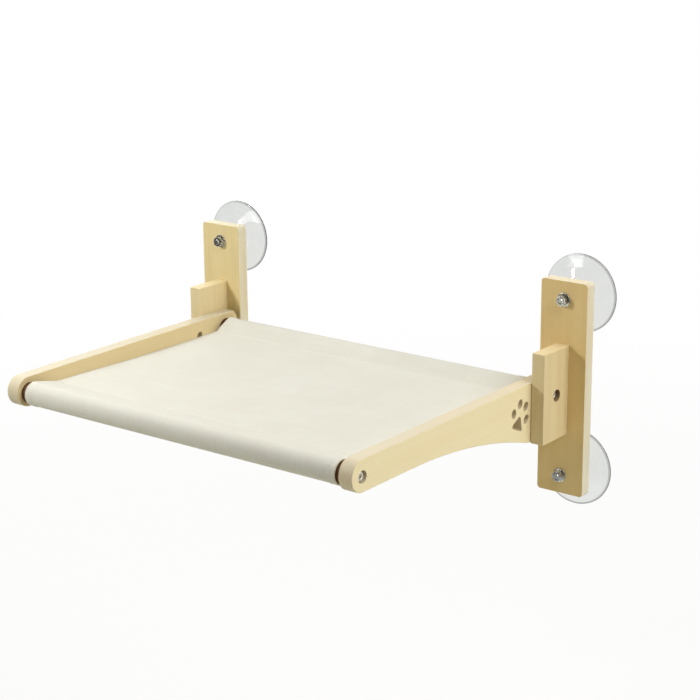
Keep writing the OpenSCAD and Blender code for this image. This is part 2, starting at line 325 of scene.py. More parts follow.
class Effects:
    """The shader effects that several finishes share, each built once as a node group."""

    @staticmethod
    @cache
    def timber() -> Tree:
        """Builds the grain of a planed softwood board whose fibres run along Z.

        Returns:
            A group that takes the place and two tones, and gives colour, roughness and height.
        """
        graph, given, result = new_tree(
            "timber", "Vector:Vector Color:Tone Color:Shade End Figure",
            "Color:Color Roughness Height",
        )
        place = given["Vector"]
        pith, rings_per_metre, ring_drift, ring_taper = (0.071, 0.043, 0), 210, 0.016, 0.012
        end_share, pore_share, pore_colour = 0.08, 0.10, linear(140, 104, 56)
        scales_detail_seed = (
            ((14, 14, 2.6), 2, 3.1), ((130, 130, 3.2), 3, 9.7), ((1500, 1500, 26), 3, 1.3),
            ((2600, 2600, 75), 1, 6.4), ((11, 11, 5), 2, 4.2), ((38, 38, 1.6), 1, 7.3),
        )
        drift, streak, fibre, pore, cloud, fade = (
            graph.grainy(place, *pattern) for pattern in scales_detail_seed
        )
        across = graph.vector("MULTIPLY", place, (1, 1, ring_taper))
        reach = graph.measure("LENGTH", graph.vector("ADD", across, pith))
        wave = graph.math("MULTIPLY_ADD", drift, ring_drift, reach)
        turn = graph.math("FRACT", graph.math("MULTIPLY", wave, rings_per_metre))
        late = graph.math("MULTIPLY", graph.spread(turn, 0.2, 0.85), graph.spread(turn, 1.0, 0.9))
        pore, fade = graph.spread(pore, 0.66, 0.8), graph.spread(fade, 0.35, 0.7)
        dark = graph.math("MULTIPLY", graph.math("MULTIPLY", late, fade), given["Figure"])
        patterns = ((streak, 0.35, 0.8, 0.16), (cloud, 0.3, 0.75, 0.24), (fibre, 0.3, 0.7, 0.14))
        for pattern, low, high, share in patterns:
            dark = graph.math("ADD", dark, graph.spread(pattern, low, high, 0.0, share))
        dark = graph.math("MULTIPLY_ADD", given["End"], end_share, dark)
        colour = graph.blend(dark, given["Tone"], given["Shade"])
        pore_mark = graph.math("MULTIPLY", pore, pore_share)
        graph.feed(result["Color"], graph.blend(pore_mark, colour, pore_colour))
        graph.feed(result["Roughness"], graph.spread(fibre, 0.2, 0.8, 0.48, 0.60))
        height = graph.math("MULTIPLY_ADD", late, 0.25, graph.math("MULTIPLY", fibre, 0.55))
        graph.feed(result["Height"], graph.math("MULTIPLY_ADD", pore, -0.6, height))
        return graph.tree

    @staticmethod
    @cache
    def edge_wear_and_highlight() -> Tree:
        """Builds the broken mask of eased edges, for rub wear and for a painted highlight where
        light catches them.

        Returns:
            A group that takes the place, the mark of eased edges and an amount, and gives a mask.
        """
        graph, given, result = new_tree("edge_wear_and_highlight", "Vector:Vector Edge Amount", "Mask")
        patches = graph.grainy(given["Vector"], (160, 160, 60), 3, 2.2)
        rubbed_and_lit = graph.math("MULTIPLY", given["Edge"], graph.spread(patches, 0.3, 0.65, 0.45, 1.0))
        graph.feed(result["Mask"], graph.math("MULTIPLY", rubbed_and_lit, given["Amount"]))
        return graph.tree

    @staticmethod
    @cache
    def plain_weave() -> Tree:
        """Builds the over and under of a plain weave on a flat map in metres.

        Returns:
            A group that takes the place and the threads' pitch, and gives height, a painted shade
            for the low parts between the threads, and slubs.
        """
        graph, given, result = new_tree("plain_weave", "Vector:Vector Pitch", "Height Shade Slub")
        place, wander_scale, wander_reach, under_share = given["Vector"], 90.0, 0.9 * MM, 0.45
        wander = graph.add("ShaderNodeTexNoise", {
            "Vector": place, "Scale": wander_scale, "Detail": 2.0,
        }).outputs["Color"]
        nudge = graph.scaled(graph.vector("SUBTRACT", wander, (0.5, 0.5, 0.5)), wander_reach)
        per_metre = graph.math("DIVIDE", 1.0, given["Pitch"])
        threads = graph.scaled(graph.vector("ADD", place, nudge), per_metre)
        ways = graph.add("ShaderNodeSeparateXYZ", {0: threads}).outputs[:2]
        turns = [graph.math("MULTIPLY", graph.math("FRACT", way), math.pi) for way in ways]
        warp, weft = (graph.math("SINE", turn) for turn in turns)
        counts = graph.math("ADD", *(graph.math("FLOOR", way) for way in ways))
        over = graph.math("FLOORED_MODULO", counts, 2.0)
        lifted = []
        for top, under in ((warp, weft), (weft, warp)):
            press = graph.math("MULTIPLY_ADD", under, under_share, 1 - under_share)
            lifted.append(graph.math("MULTIPLY", top, press))
        height = graph.out("ShaderNodeMix", {0: over, 2: lifted[0], 3: lifted[1]})
        graph.feed(result["Height"], height)
        # painted shade: darker where the threads dip
        graph.feed(result["Shade"], graph.spread(height, 0.1, 0.75, 1.0, 0.0))
        along = [graph.grainy(place, scale, 2, 5.5) for scale in ((1100, 30, 1), (30, 1100, 1))]
        graph.feed(result["Slub"], graph.math("MULTIPLY", graph.math("ADD", *along), 0.5))
        return graph.tree

    @staticmethod
    @cache
    def handling() -> Tree:
        """Builds the faint unevenness that handling and forming leave on a smooth surface.

        Returns:
            A group that takes the place, a scale and two limits, and gives a number between them.
        """
        graph, given, result = new_tree("handling", "Vector:Vector Scale Low High", "Value")
        smear = {"Vector": given["Vector"], "Scale": given["Scale"], "Detail": 4.0}
        soft = graph.spread(graph.out("ShaderNodeTexNoise", smear), 0.25, 0.75)
        span = graph.math("SUBTRACT", given["High"], given["Low"])
        graph.feed(result["Value"], graph.math("MULTIPLY_ADD", soft, span, given["Low"]))
        return graph.tree


# Finishes


@dataclass(frozen=True)
class WoodFinish:
    """Clear-coated pale wood.

    Attributes:
        slot: the record's slot.
        tone: the light wood between the rings, on the broad faces.
        shade: the darker wood of the rings.
        narrow_tone_and_sheen: the wood on the narrow sides and the ends, partly their own edge-grain
            tone and partly painted sheen and shade, set for each board to how the light falls on
            those faces.
        worn_and_lit: the pale colour of eased edges, partly rub wear and partly painted highlight.
        wear_and_highlight: how much of it shows.
        recess_shade: painted shade, the dark brown that stands in for the shade inside drilled
            recesses.
        recess_shade_share: how much of it shows.
        figure: how much the rings show.
        bump: depth of the grain.
    """

    slot: str
    tone: Colour
    shade: Colour
    narrow_tone_and_sheen: Colour
    worn_and_lit: Colour = linear(250, 234, 194)
    wear_and_highlight: float = 0.25
    recess_shade: Colour = linear(112, 80, 44)
    recess_shade_share: float = 0.8
    figure: float = 0.13
    bump: float = 0.12 * MM

    def material(self, piece: str, grain: Way, broad: Way, shift: Sequence[float]) -> Material:
        """Builds the finish for one board.

        Args:
            piece: the board's name.
            grain: the way of its fibres.
            broad: the way that its broad faces look.
            shift: where the board was cut from the plank, in metres.

        Returns:
            The board's material.
        """
        surface = Surface(piece, Specular_IOR_Level=0.25)
        where = surface.add("ShaderNodeTexCoord").outputs
        place = surface.out("ShaderNodeMapping", {
            "Vector": where["Object"], "Rotation": grain.turn, "Location": shift,
        })
        end, level = (
            surface.math("ABSOLUTE", surface.measure("DOT_PRODUCT", where["Normal"], way.axis))
            for way in (grain, broad)
        )
        # the narrow sides take a tone fitted to how light falls on them: partly edge grain, partly
        # painted sheen and shade
        tone = surface.blend(surface.spread(level, 0.55, 0.95), self.narrow_tone_and_sheen, self.tone)
        wood = surface.effect(Effects.timber, {
            "Vector": place, "Tone": tone, "Shade": self.shade,
            "End": surface.spread(end, 0.7, 0.95), "Figure": self.figure,
        }).outputs
        # eased edges turn paler: rub wear, with a painted highlight where light catches the edge
        rubbed_and_lit = {"Vector": place, "Edge": surface.mark("eased"), "Amount": self.wear_and_highlight}
        wear_and_highlight = surface.effect(Effects.edge_wear_and_highlight, rubbed_and_lit).outputs[0]
        colour = surface.blend(wear_and_highlight, wood["Color"], self.worn_and_lit)
        # painted shade: the walls of drilled recesses are darkened, where shade falls
        painted_recess_shade = surface.math("MULTIPLY", surface.mark("recess_shade"), self.recess_shade_share)
        colour = surface.blend(painted_recess_shade, colour, self.recess_shade)
        relief = wood["Height"]
        return surface.finished(colour, wood["Roughness"], relief, strength=0.5, depth=self.bump)


@dataclass(frozen=True)
class CanvasFinish:
    """Unbleached cotton canvas in a plain weave.

    Attributes:
        slot: the record's slot.
        thread: the colour of the threads.
        gap: the darker colour that the low parts of the weave take as painted shade, and that slubs
            and clouds darken towards.
        pitch: the distance between two threads.
        rough: the limits of its roughness.
        bump: the depth of the weave.
    """

    slot: str = "canvas"
    thread: Colour = linear(226, 225, 213)
    gap: Colour = linear(194, 187, 169)
    pitch: float = 0.85 * MM
    rough: Pair = (0.84, 0.95)
    bump: float = 0.16 * MM

    def material(self) -> Material:
        """Builds the cloth's material on the cloth's own flat map.

        Returns:
            The material.
        """
        surface = Surface("sling", Specular_IOR_Level=0.12, Sheen_Weight=0.08, Sheen_Roughness=0.5)
        flat = surface.out("ShaderNodeUVMap", uv_map=Sling.flat_map)
        weave = surface.effect(Effects.plain_weave, {"Vector": flat, "Pitch": self.pitch}).outputs
        cloud = surface.grainy(flat, (16, 16, 1), 3, 8.1)
        # painted shade: the weave's low parts take the gap colour
        tone = surface.blend(surface.math("MULTIPLY", weave["Shade"], 0.5), self.thread, self.gap)
        for pattern, share in ((weave["Slub"], 0.22), (cloud, 0.12)):
            tone = surface.blend(surface.spread(pattern, 0.3, 0.7, 0.0, share), tone, self.gap)
        height = surface.math("MULTIPLY_ADD", weave["Slub"], 0.4, weave["Height"])
        rough = surface.uneven(flat, 60.0, *self.rough)
        return surface.finished(tone, rough, height, strength=0.6, depth=self.bump)


@dataclass(frozen=True)
class ThreadFinish:
    """Sewing thread, a touch lighter than the canvas.

    Attributes:
        slot: the record's slot.
        colour: the colour of the thread.
        shade: painted shade, the darker colour in the grooves between its plies.
        twist: the fineness of its slant.
        rough: the limits of its roughness.
    """

    slot: str = "canvas"
    colour: Colour = linear(246, 243, 232)
    shade: Colour = linear(224, 216, 196)
    twist: float = 2600.0
    rough: Pair = (0.6, 0.8)

    def material(self) -> Material:
        """Builds the thread's material, with the fine slant of its twist.

        Returns:
            The material.
        """
        surface = Surface("sewing_thread", Sheen_Weight=0.2)
        place = surface.place()
        slant = surface.measure("DOT_PRODUCT", place, (self.twist, self.twist, self.twist))
        # painted shade: darker in the grooves between the plies
        ply = surface.math("MULTIPLY_ADD", surface.math("SINE", slant), 0.5, 0.5)
        rough = surface.uneven(place, 900.0, *self.rough)
        return surface.finished(surface.blend(ply, self.shade, self.colour), rough)


@dataclass(frozen=True)
class MetalFinish:
    """Plated or bare metal.

    Attributes:
        slot: the record's slot.
        colour: the metal's colour.
        dull: the colour of its duller patches.
        rough: the limits of its roughness.
        bump: depth of its worked surface.
    """

    slot: str
    colour: Colour
    dull: Colour
    rough: Pair = (0.22, 0.36)
    bump: float = 0.02 * MM

    def material(self) -> Material:
        """Builds the metal's material with its worked, uneven surface.

        Returns:
            The material.
        """
        surface = Surface(self.slot, Metallic=1.0)
        place = surface.place()
        colour = surface.blend(surface.uneven(place, 420.0), self.colour, self.dull)
        gloss = surface.uneven(place, 1500.0, *self.rough)
        worked = surface.grainy(place, (3200, 3200, 3200), 3, 7.7)
        return surface.finished(colour, gloss, worked, strength=0.25, depth=self.bump)


@dataclass(frozen=True)
class NylonFinish:
    """Milky moulded nylon.

    Attributes:
        slot: the record's slot.
        colour: the colour of its surface.
        shade: the colour of its clouds.
        cloudy: how much of them shows.
        rough: the limits of its roughness.
    """

    slot: str = "washer_nylon"
    colour: Colour = linear(236, 233, 222)
    shade: Colour = linear(214, 208, 190)
    cloudy: float = 0.4
    rough: Pair = (0.4, 0.55)

    def material(self) -> Material:
        """Builds the nylon's material with the faint grain of its mould.

        Returns:
            The material.
        """
        surface = Surface(self.slot)
        place = surface.place()
        clouds = surface.uneven(place, 500.0, 0.0, self.cloudy)
        colour = surface.blend(clouds, self.colour, self.shade)
        return surface.finished(colour, surface.uneven(place, 1400.0, *self.rough))


@dataclass(frozen=True)
class VinylFinish:
    """Clear soft vinyl.

    Attributes:
        slot: the record's slot.
        tint: its colour.
        rim: painted shade, the dark grey at the rim of a cup that stands in for the dark refraction
            seen there.
        haze: how much its colour wanders.
        rough: the limits of its roughness.
        bump: depth of its flow marks.
    """

    slot: str = "clear_vinyl"
    tint: Colour = (0.80, 0.815, 0.80)
    rim: Colour = (0.34, 0.35, 0.34)
    haze: float = 0.03
    rough: Pair = (0.02, 0.07)
    bump: float = 0.25 * MM

    def material(self) -> Material:
        """Builds the clear vinyl, with slight unevenness in its gloss and surface.

        Returns:
            The material.
        """
        surface = Surface(self.slot, Transmission_Weight=1.0, IOR=1.5, Metallic=0.0)
        place = surface.place()
        hazy = tuple((1 - self.haze) * c for c in self.tint)
        clear = surface.blend(surface.uneven(place, 45.0), self.tint, hazy)
        # painted shade: the marked rim takes a dark grey, where refraction would show dark
        colour = surface.blend(surface.mark("rim"), clear, self.rim)
        flow = surface.grainy(place, (28, 28, 28), 2, 1.9)
        rough = surface.uneven(place, 70.0, *self.rough)
        return surface.finished(colour, rough, flow, strength=0.3, depth=self.bump)


ZINC = MetalFinish("zinc_steel", (0.84, 0.85, 0.81), (0.30, 0.29, 0.27), (0.10, 0.24))
BOLT_STEEL = MetalFinish("bolt_steel", (0.76, 0.72, 0.63), (0.44, 0.41, 0.35))
SCREW_STEEL = MetalFinish("screw_steel", (0.72, 0.72, 0.69), (0.55, 0.55, 0.52))
BRASS = MetalFinish("insert_brass", (0.80, 0.60, 0.27), (0.62, 0.45, 0.20))
VINYL = VinylFinish()


# Meshes


def linked(name: str, data: bpy.types.ID) -> Object:
    """Puts a new object into the scene.

    Args:
        name: its name.
        data: its mesh, light or camera.

    Returns:
        The object, at the origin.
    """
    obj = bpy.data.objects.new(name, data)
    bpy.context.scene.collection.objects.link(obj)
    return obj


def new_object(name: str, bm: Mesh, sharp: float = 35.0, recalculate: bool = True) -> Object:
    """Turns a bmesh into an object of the scene.

    Args:
        name: the piece's name.
        bm: its faces, which are freed here.
        sharp: degrees above which an edge stays sharp.
        recalculate: whether the faces are turned outwards first.

    Returns:
        The object, at the origin.
    """
    if recalculate:
        bmesh.ops.recalc_face_normals(bm, faces=bm.faces)
        if bm.calc_volume(signed=True) < 0:
            bmesh.ops.reverse_faces(bm, faces=bm.faces)
    for face in bm.faces:
        face.smooth = True
    mesh = bpy.data.meshes.new(name)
    bm.to_mesh(mesh)
    bm.free()
    mesh.set_sharp_from_angle(angle=math.radians(sharp))
    return linked(name, mesh)


def taken(*parts: Object) -> Mesh:
    """Collects the faces of objects, which are removed.

    Args:
        parts: the objects.

    Returns:
        Their faces.
    """
    bm = bmesh.new()
    for part in parts:
        bm.from_mesh(part.data)
        bpy.data.objects.remove(part)
    return bm


def settle(obj: Object) -> None:
    """Turns an object with modifiers into a plain mesh.

    Args:
        obj: the object.
    """
    depsgraph = bpy.context.evaluated_depsgraph_get()
    mesh = bpy.data.meshes.new_from_object(
        obj.evaluated_get(depsgraph), preserve_all_data_layers=True, depsgraph=depsgraph
    )
    obj.modifiers.clear()
    obj.data = mesh
    mesh.name = obj.name


def grow(obj: Object, tree: Tree, values: dict[str, object]) -> None:
    """Runs a geometry node tree on an object and keeps the result as its mesh.

    Args:
        obj: the object, with the mesh that the tree starts from.
        tree: the tree.
        values: the tree's inputs by name.
    """
    modifier = obj.modifiers.new(tree.name, "NODES")
    modifier.node_group = tree
    identifiers = {i.name: i.identifier for i in tree.interface.items_tree if i.in_out == "INPUT"}
    for name, value in values.items():
        modifier[identifiers[name]] = value
    settle(obj)


def dress(obj: Object, material: Material, body: Body, slot: str, *stands_for: str) -> Object:
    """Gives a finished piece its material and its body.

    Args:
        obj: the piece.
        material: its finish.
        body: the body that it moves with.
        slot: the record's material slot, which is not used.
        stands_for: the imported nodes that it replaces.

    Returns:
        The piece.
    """
    obj.data.materials.clear()
    obj.data.materials.append(material)
    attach(obj, body.value)
    if stands_for:
        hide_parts(*stands_for)
    LOG.info("%s rides on %s, %d faces", obj.name, body.value, len(obj.data.polygons))
    return obj


def measured(node: str) -> tuple[Vector, Vector, Vector, float]:
    """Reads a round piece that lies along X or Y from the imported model.

    Args:
        node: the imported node.

    Returns:
        The low and the high corner of its box, its middle and its radius.
    """
    low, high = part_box(node)
    return low, high, (low + high) / 2, (high.z - low.z) / 2


def axes_at(origin: Sequence[float], *axes: Vector) -> Matrix:
    """A place with its own axes.

    Args:
        origin: the point that it lies at.
        axes: its three axes.

    Returns:
        The matrix of the place.
    """
    matrix = Matrix(axes).transposed().to_4x4()
    matrix.translation = Vector(origin)
    return matrix


def frame_at(origin: Sequence[float], axis: Sequence[float], across: Sequence[float]) -> Matrix:
    """A place whose Z runs along an axis, and whose X runs across it."""
    z, x = Vector(axis).normalized(), Vector(across).normalized()
    return axes_at(origin, x, z.cross(x), z)


def evenly(start: float, end: float, count: int) -> list[float]:
    """Numbers at even steps from one to another, with both."""
    return [start + (end - start) * i / count for i in range(count + 1)]


def run_lengths(line: Sequence[Vector]) -> list[float]:
    """How far along a line each of its points lies."""
    return [0.0, *accumulate((b - a).length for a, b in pairwise(line))]


def smooth_step(value: float) -> float:
    """Eases a share from 0 to 1."""
    share = min(max(value, 0.0), 1.0)
    return share * share * (3 - 2 * share)


def bell(distance: float, width: float) -> float:
    """Falls off smoothly from 1 with the distance."""
    return math.exp(-((distance / width) ** 2))


def hexagon_radius(half_width: float, angle: float) -> float:
    """Distance from the axis to the side of a hexagon."""
    sixth = math.pi / 3
    return half_width / math.cos(angle % sixth - sixth / 2)


def hex_ring(half_width: float, height: float) -> Ring:
    """A hexagonal ring of a turned piece."""
    return lambda angle: (hexagon_radius(half_width, angle), height)


def turned(
    name: str, rings: Iterable[Ring], place: Matrix, steps: int = 72, closed: bool = False,
    sharp: float = 35.0,
) -> Object:
    """Makes a closed piece from rings round an axis.

    Args:
        name: the piece's name.
        rings: radius and height of each, or what gives them for an angle; radius 0 makes a pole.
        place: where its foot and axis are.
        steps: faces round the axis.
        closed: whether the last ring joins the first, as round a bore.
        sharp: degrees above which an edge stays sharp.

    Returns:
        The piece.
    """
    bm = bmesh.new()
    angles = evenly(0, 2 * math.pi, steps)[:-1]
    loops = []
    for ring in rings:
        spots = [(angle, *(ring(angle) if callable(ring) else ring)) for angle in angles]
        if max(radius for _, radius, _ in spots) < TINY:
            spots = spots[:1]
        loops.append([bm.verts.new((r * math.cos(a), r * math.sin(a), h)) for a, r, h in spots])
    for low, high in pairwise([*loops, loops[0]] if closed else loops):
        for i in range(steps):
            j = i + 1
            corners = low[i % len(low)], low[j % len(low)], high[j % len(high)], high[i % len(high)]
            bm.faces.new(dict.fromkeys(corners))
    bm.transform(place)
    return new_object(name, bm, sharp)


def rounded(profile: Iterable[Pair], radius: float, steps: int = 4) -> list[Pair]:
    """Rounds the inner corners of an open profile.

    Args:
        profile: its corners.
        radius: the rounding's radius.
        steps: parts of each rounding.

    Returns:
        The profile with its corners rounded.
    """
    corners = [Vector(corner) for corner in profile]
    made = [tuple(corners[0])]
    for before, here, after in zip(corners, corners[1:], corners[2:]):
        back, on = (before - here), (after - here)
        cut = min(radius, back.length / 2.2, on.length / 2.2)
        start, end = here + back.normalized() * cut, here + on.normalized() * cut
        for t in evenly(0, 1, steps):
            made.append(tuple(start * (1 - t) ** 2 + here * 2 * t * (1 - t) + end * t * t))
    return [*made, tuple(corners[-1])]


# Grown pieces


@dataclass
class ThreadedRod:
    """A rod with a screw thread.

    Attributes:
        length: its whole length.
        radius: over the crests.
        pitch: from crest to crest.
        depth: of the groove.
        plain: length of smooth shank at its foot.
        point: length of the taper at its tip.
        rings_per_turn: points along the rod in each turn of the thread.
        faces_round: faces round the rod.
        tip_share: how much of the radius the taper takes.
    """

    length: float
    radius: float
    pitch: float = 1.0 * MM
    depth: float = 0.55 * MM
    plain: float = 0.0
    point: float = 0.9 * MM

    rings_per_turn = 6.0
    faces_round = 24
    tip_share = 0.22

    @classmethod
    @cache
    def tree(cls) -> Tree:
        """Builds the tree that makes the rod along Z, from its foot at the origin.

        Returns:
            The tree.
        """
        graph, given, result = new_tree(
            "threaded_rod", "Length Radius Pitch Depth Plain Point Material:Finish",
            "Geometry:Geometry", "GeometryNodeTree",
        )
        top = graph.out("ShaderNodeCombineXYZ", {2: given["Length"]})
        line = graph.out("GeometryNodeCurvePrimitiveLine", {"End": top})
        ring_gap = graph.math("DIVIDE", given["Pitch"], cls.rings_per_turn)
        line = graph.out("GeometryNodeResampleCurve", {
            "Curve": line, "Length": ring_gap,
        }, mode="LENGTH")
        circle = graph.out("GeometryNodeCurvePrimitiveCircle", {
            "Resolution": cls.faces_round, "Radius": given["Radius"],
        })
        rod = graph.out("GeometryNodeCurveToMesh", {
            "Curve": line, "Profile Curve": circle, "Fill Caps": True,
        })
        spot = graph.out("GeometryNodeInputPosition")
        x, y, z = graph.add("ShaderNodeSeparateXYZ", {0: spot}).outputs
        angle = graph.math("DIVIDE", graph.math("ARCTAN2", y, x), 2 * math.pi)
        crests = graph.math("DIVIDE", z, given["Pitch"])
        phase = graph.math("FRACT", graph.math("SUBTRACT", crests, angle))
        flank = graph.math("ABSOLUTE", graph.math("MULTIPLY_ADD", phase, 2.0, -1.0))
        past = graph.math("DIVIDE", graph.math("SUBTRACT", z, given["Plain"]), given["Pitch"])
        begun = graph.math("MINIMUM", graph.math("MAXIMUM", past, 0.0), 1.0)
        groove = graph.math("MULTIPLY", graph.math("MULTIPLY", flank, begun), given["Depth"])
        left = graph.math("DIVIDE", graph.math("SUBTRACT", given["Length"], z), given["Point"])
        taper = graph.math("SUBTRACT", 1.0, graph.math("MINIMUM", left, 1.0))
        tip = graph.math("MULTIPLY", taper, graph.math("MULTIPLY", given["Radius"], cls.tip_share))
        inward = graph.math("MULTIPLY", graph.math("MAXIMUM", groove, tip), -1.0)
        outwards = graph.vector("NORMALIZE", graph.out("ShaderNodeCombineXYZ", {0: x, 1: y}))
        moved = graph.out("GeometryNodeSetPosition", {
            "Geometry": rod, "Offset": graph.scaled(outwards, inward),
        })
        return graph.grown(moved, given, result)

    def build(self, name: str, place: Matrix, material: Material) -> Object:
        """Makes the rod.

        Args:
            name: the object's name.
            place: where its foot and axis are.
            material: its finish.

        Returns:
            The object, with its place in its mesh.
        """
        obj = new_object(name, bmesh.new())
        grow(obj, self.tree(), {
            "Length": self.length, "Radius": self.radius, "Pitch": self.pitch, "Depth": self.depth,
            "Plain": self.plain, "Point": self.point, "Finish": material,
        })
        bm = taken(obj)
        bm.transform(place)
        return new_object(name, bm, 50.0)


@dataclass
class Stitching:
    """Rows of lockstitch.

    Attributes:
        pitch: from one stitch to the next.
        length: of the thread that shows.
        thickness: of the thread.
        wander: how far a stitch may turn from its row.
        seed: of that turn.
    """

    pitch: float = 3.4 * MM
    length: float = 2.9 * MM
    thickness: float = 0.55 * MM
    wander: float = 0.05

    seed = 11

    @classmethod
    @cache
    def tree(cls) -> Tree:
        """Builds the tree that sews a row of stitches along the edges of a mesh.

        Returns:
            The tree.
        """
        graph, given, result = new_tree(
            "stitch_row", "Geometry:Path Pitch Length Thickness Wander Material:Finish",
            "Geometry:Geometry", "GeometryNodeTree",
        )
        curve = graph.out("GeometryNodeMeshToCurve", {"Mesh": given["Path"]})
        spots = graph.out("GeometryNodeResampleCurve", {
            "Curve": curve, "Length": given["Pitch"],
        }, mode="LENGTH")
        ball = graph.out("GeometryNodeMeshUVSphere", {"Segments": 8, "Rings": 6, "Radius": 0.5})
        size = graph.out("ShaderNodeCombineXYZ", {
            0: given["Length"], 1: given["Thickness"], 2: given["Thickness"],
        })
        stitch = graph.out("GeometryNodeTransform", {"Geometry": ball, "Scale": size})
        low, high = (
            graph.out("ShaderNodeCombineXYZ", dict.fromkeys(range(3), reach))
            for reach in (graph.math("MULTIPLY", given["Wander"], -1.0), given["Wander"])
        )
        stray = graph.out("FunctionNodeRandomValue", {
            "Min": low, "Max": high, "Seed": cls.seed,
        }, data_type="FLOAT_VECTOR")
        heading = graph.vector("ADD", graph.out("GeometryNodeInputTangent"), stray)
        turn = graph.out("FunctionNodeAlignRotationToVector", {"Vector": heading}, axis="X")
        row = graph.out("GeometryNodeInstanceOnPoints", {
            "Points": spots, "Instance": stitch, "Rotation": turn,
        })
        return graph.grown(row, given, result)

    def build(self, name: str, rows: Sequence[Sequence[Vector]], material: Material) -> Object:
        """Sews stitches along the rows.

        Args:
            name: the object's name.
            rows: the points of each row.
            material: the thread's finish.

        Returns:
            The stitches as one mesh.
        """
        bm = bmesh.new()
        for row in rows:
            for pair in pairwise([bm.verts.new(p) for p in row]):
                bm.edges.new(pair)
        obj = new_object(name, bm, recalculate=False)
        grow(obj, self.tree(), {
            "Pitch": self.pitch, "Length": self.length, "Thickness": self.thickness,
            "Wander": self.wander, "Finish": material,
        })
        return obj


# Wooden pieces


@dataclass
class Board:
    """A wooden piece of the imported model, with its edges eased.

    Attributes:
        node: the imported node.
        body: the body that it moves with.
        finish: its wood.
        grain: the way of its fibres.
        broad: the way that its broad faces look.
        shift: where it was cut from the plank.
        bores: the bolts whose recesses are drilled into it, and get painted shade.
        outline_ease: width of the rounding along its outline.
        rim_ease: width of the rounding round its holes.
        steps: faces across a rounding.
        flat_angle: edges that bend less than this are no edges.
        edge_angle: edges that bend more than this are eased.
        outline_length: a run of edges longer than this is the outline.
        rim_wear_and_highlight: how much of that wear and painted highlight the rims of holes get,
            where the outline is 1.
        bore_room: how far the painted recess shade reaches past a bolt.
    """

    node: str
    body: Body
    finish: WoodFinish
    grain: Way
    broad: Way
    shift: Triple
    bores: Sequence[str] = ()
    outline_ease: float = 0.6 * MM
    rim_ease: float = 0.45 * MM
    steps: int = 3

    flat_angle = math.radians(0.1)
    edge_angle = math.radians(40)
    outline_length = 100 * MM
    rim_wear_and_highlight = 0.6
    bore_room = 1.5 * MM

    def runs(self, bm: Mesh) -> list[list[bmesh.types.BMEdge]]:
        """Finds the sharp outer edges that hang together.

        Args:
            bm: the board.

        Returns:
            The edges of each connected run.
        """
        outer = [e for e in bm.edges if e.is_manifold and e.is_convex]
        sharp = {e for e in outer if e.calc_face_angle() > self.edge_angle}
        runs = []
        while sharp:
            run, front = [], [sharp.pop()]
            while front:
                edge = front.pop()
                run.append(edge)
                near = {e for v in edge.verts for e in v.link_edges} & sharp
                sharp -= near
                front.extend(near)
            runs.append(run)
        return runs

    def ease(self, bm: Mesh) -> None:
        """Rounds the rims of the holes and then the outline, and marks them for the finish.

        Args:
            bm: the board.
        """
        eased = bm.faces.layers.float.new("eased")
        rims, outline = (False, self.rim_ease, self.rim_wear_and_highlight), (True, self.outline_ease, 1.0)
        for long, width, wear_and_highlight in (rims, outline):
            edges = [
                e for run in self.runs(bm)
                if (sum(e.calc_length() for e in run) > self.outline_length) == long for e in run
            ]
            made = bmesh.ops.bevel(
                bm, geom=edges, offset=width, offset_type="OFFSET", segments=self.steps,
                profile=0.5, affect="EDGES", clamp_overlap=True, material=-1,
            )
            # the share of wear and painted highlight that the finish puts on these faces
            for face in made["faces"]:
                face[eased] = wear_and_highlight

    def mark_recess_shade(self, bm: Mesh) -> None:
        """Marks the walls of the drilled recesses, which the finish darkens as painted shade.

        Args:
            bm: the board.
        """
        recess_shade = bm.faces.layers.float.new("recess_shade")
        for node in self.bores:
            _, _, middle, radius = measured(node)
            reach = radius + self.bore_room
            for face in bm.faces:
                if all((vert.co - middle).yz.length < reach for vert in face.verts):
                    face[recess_shade] = 1.0

    def build(self) -> None:
        """Copies the node's mesh, merges it, eases its edges and dresses it."""
        bm = bmesh.new()
        bm.from_mesh(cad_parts[self.node].data)
        bmesh.ops.remove_doubles(bm, verts=bm.verts, dist=MM / 1000)
        bmesh.ops.dissolve_limit(bm, angle_limit=self.flat_angle, verts=bm.verts, edges=bm.edges)
        self.ease(bm)
        self.mark_recess_shade(bm)
        obj = new_object(f"{self.node}_board", bm, 40.0, recalculate=False)
        obj.modifiers.new("even_shading", "WEIGHTED_NORMAL").keep_sharp = True
        settle(obj)
        material = self.finish.material(self.node, self.grain, self.broad, self.shift)
        dress(obj, material, self.body, self.finish.slot, self.node)


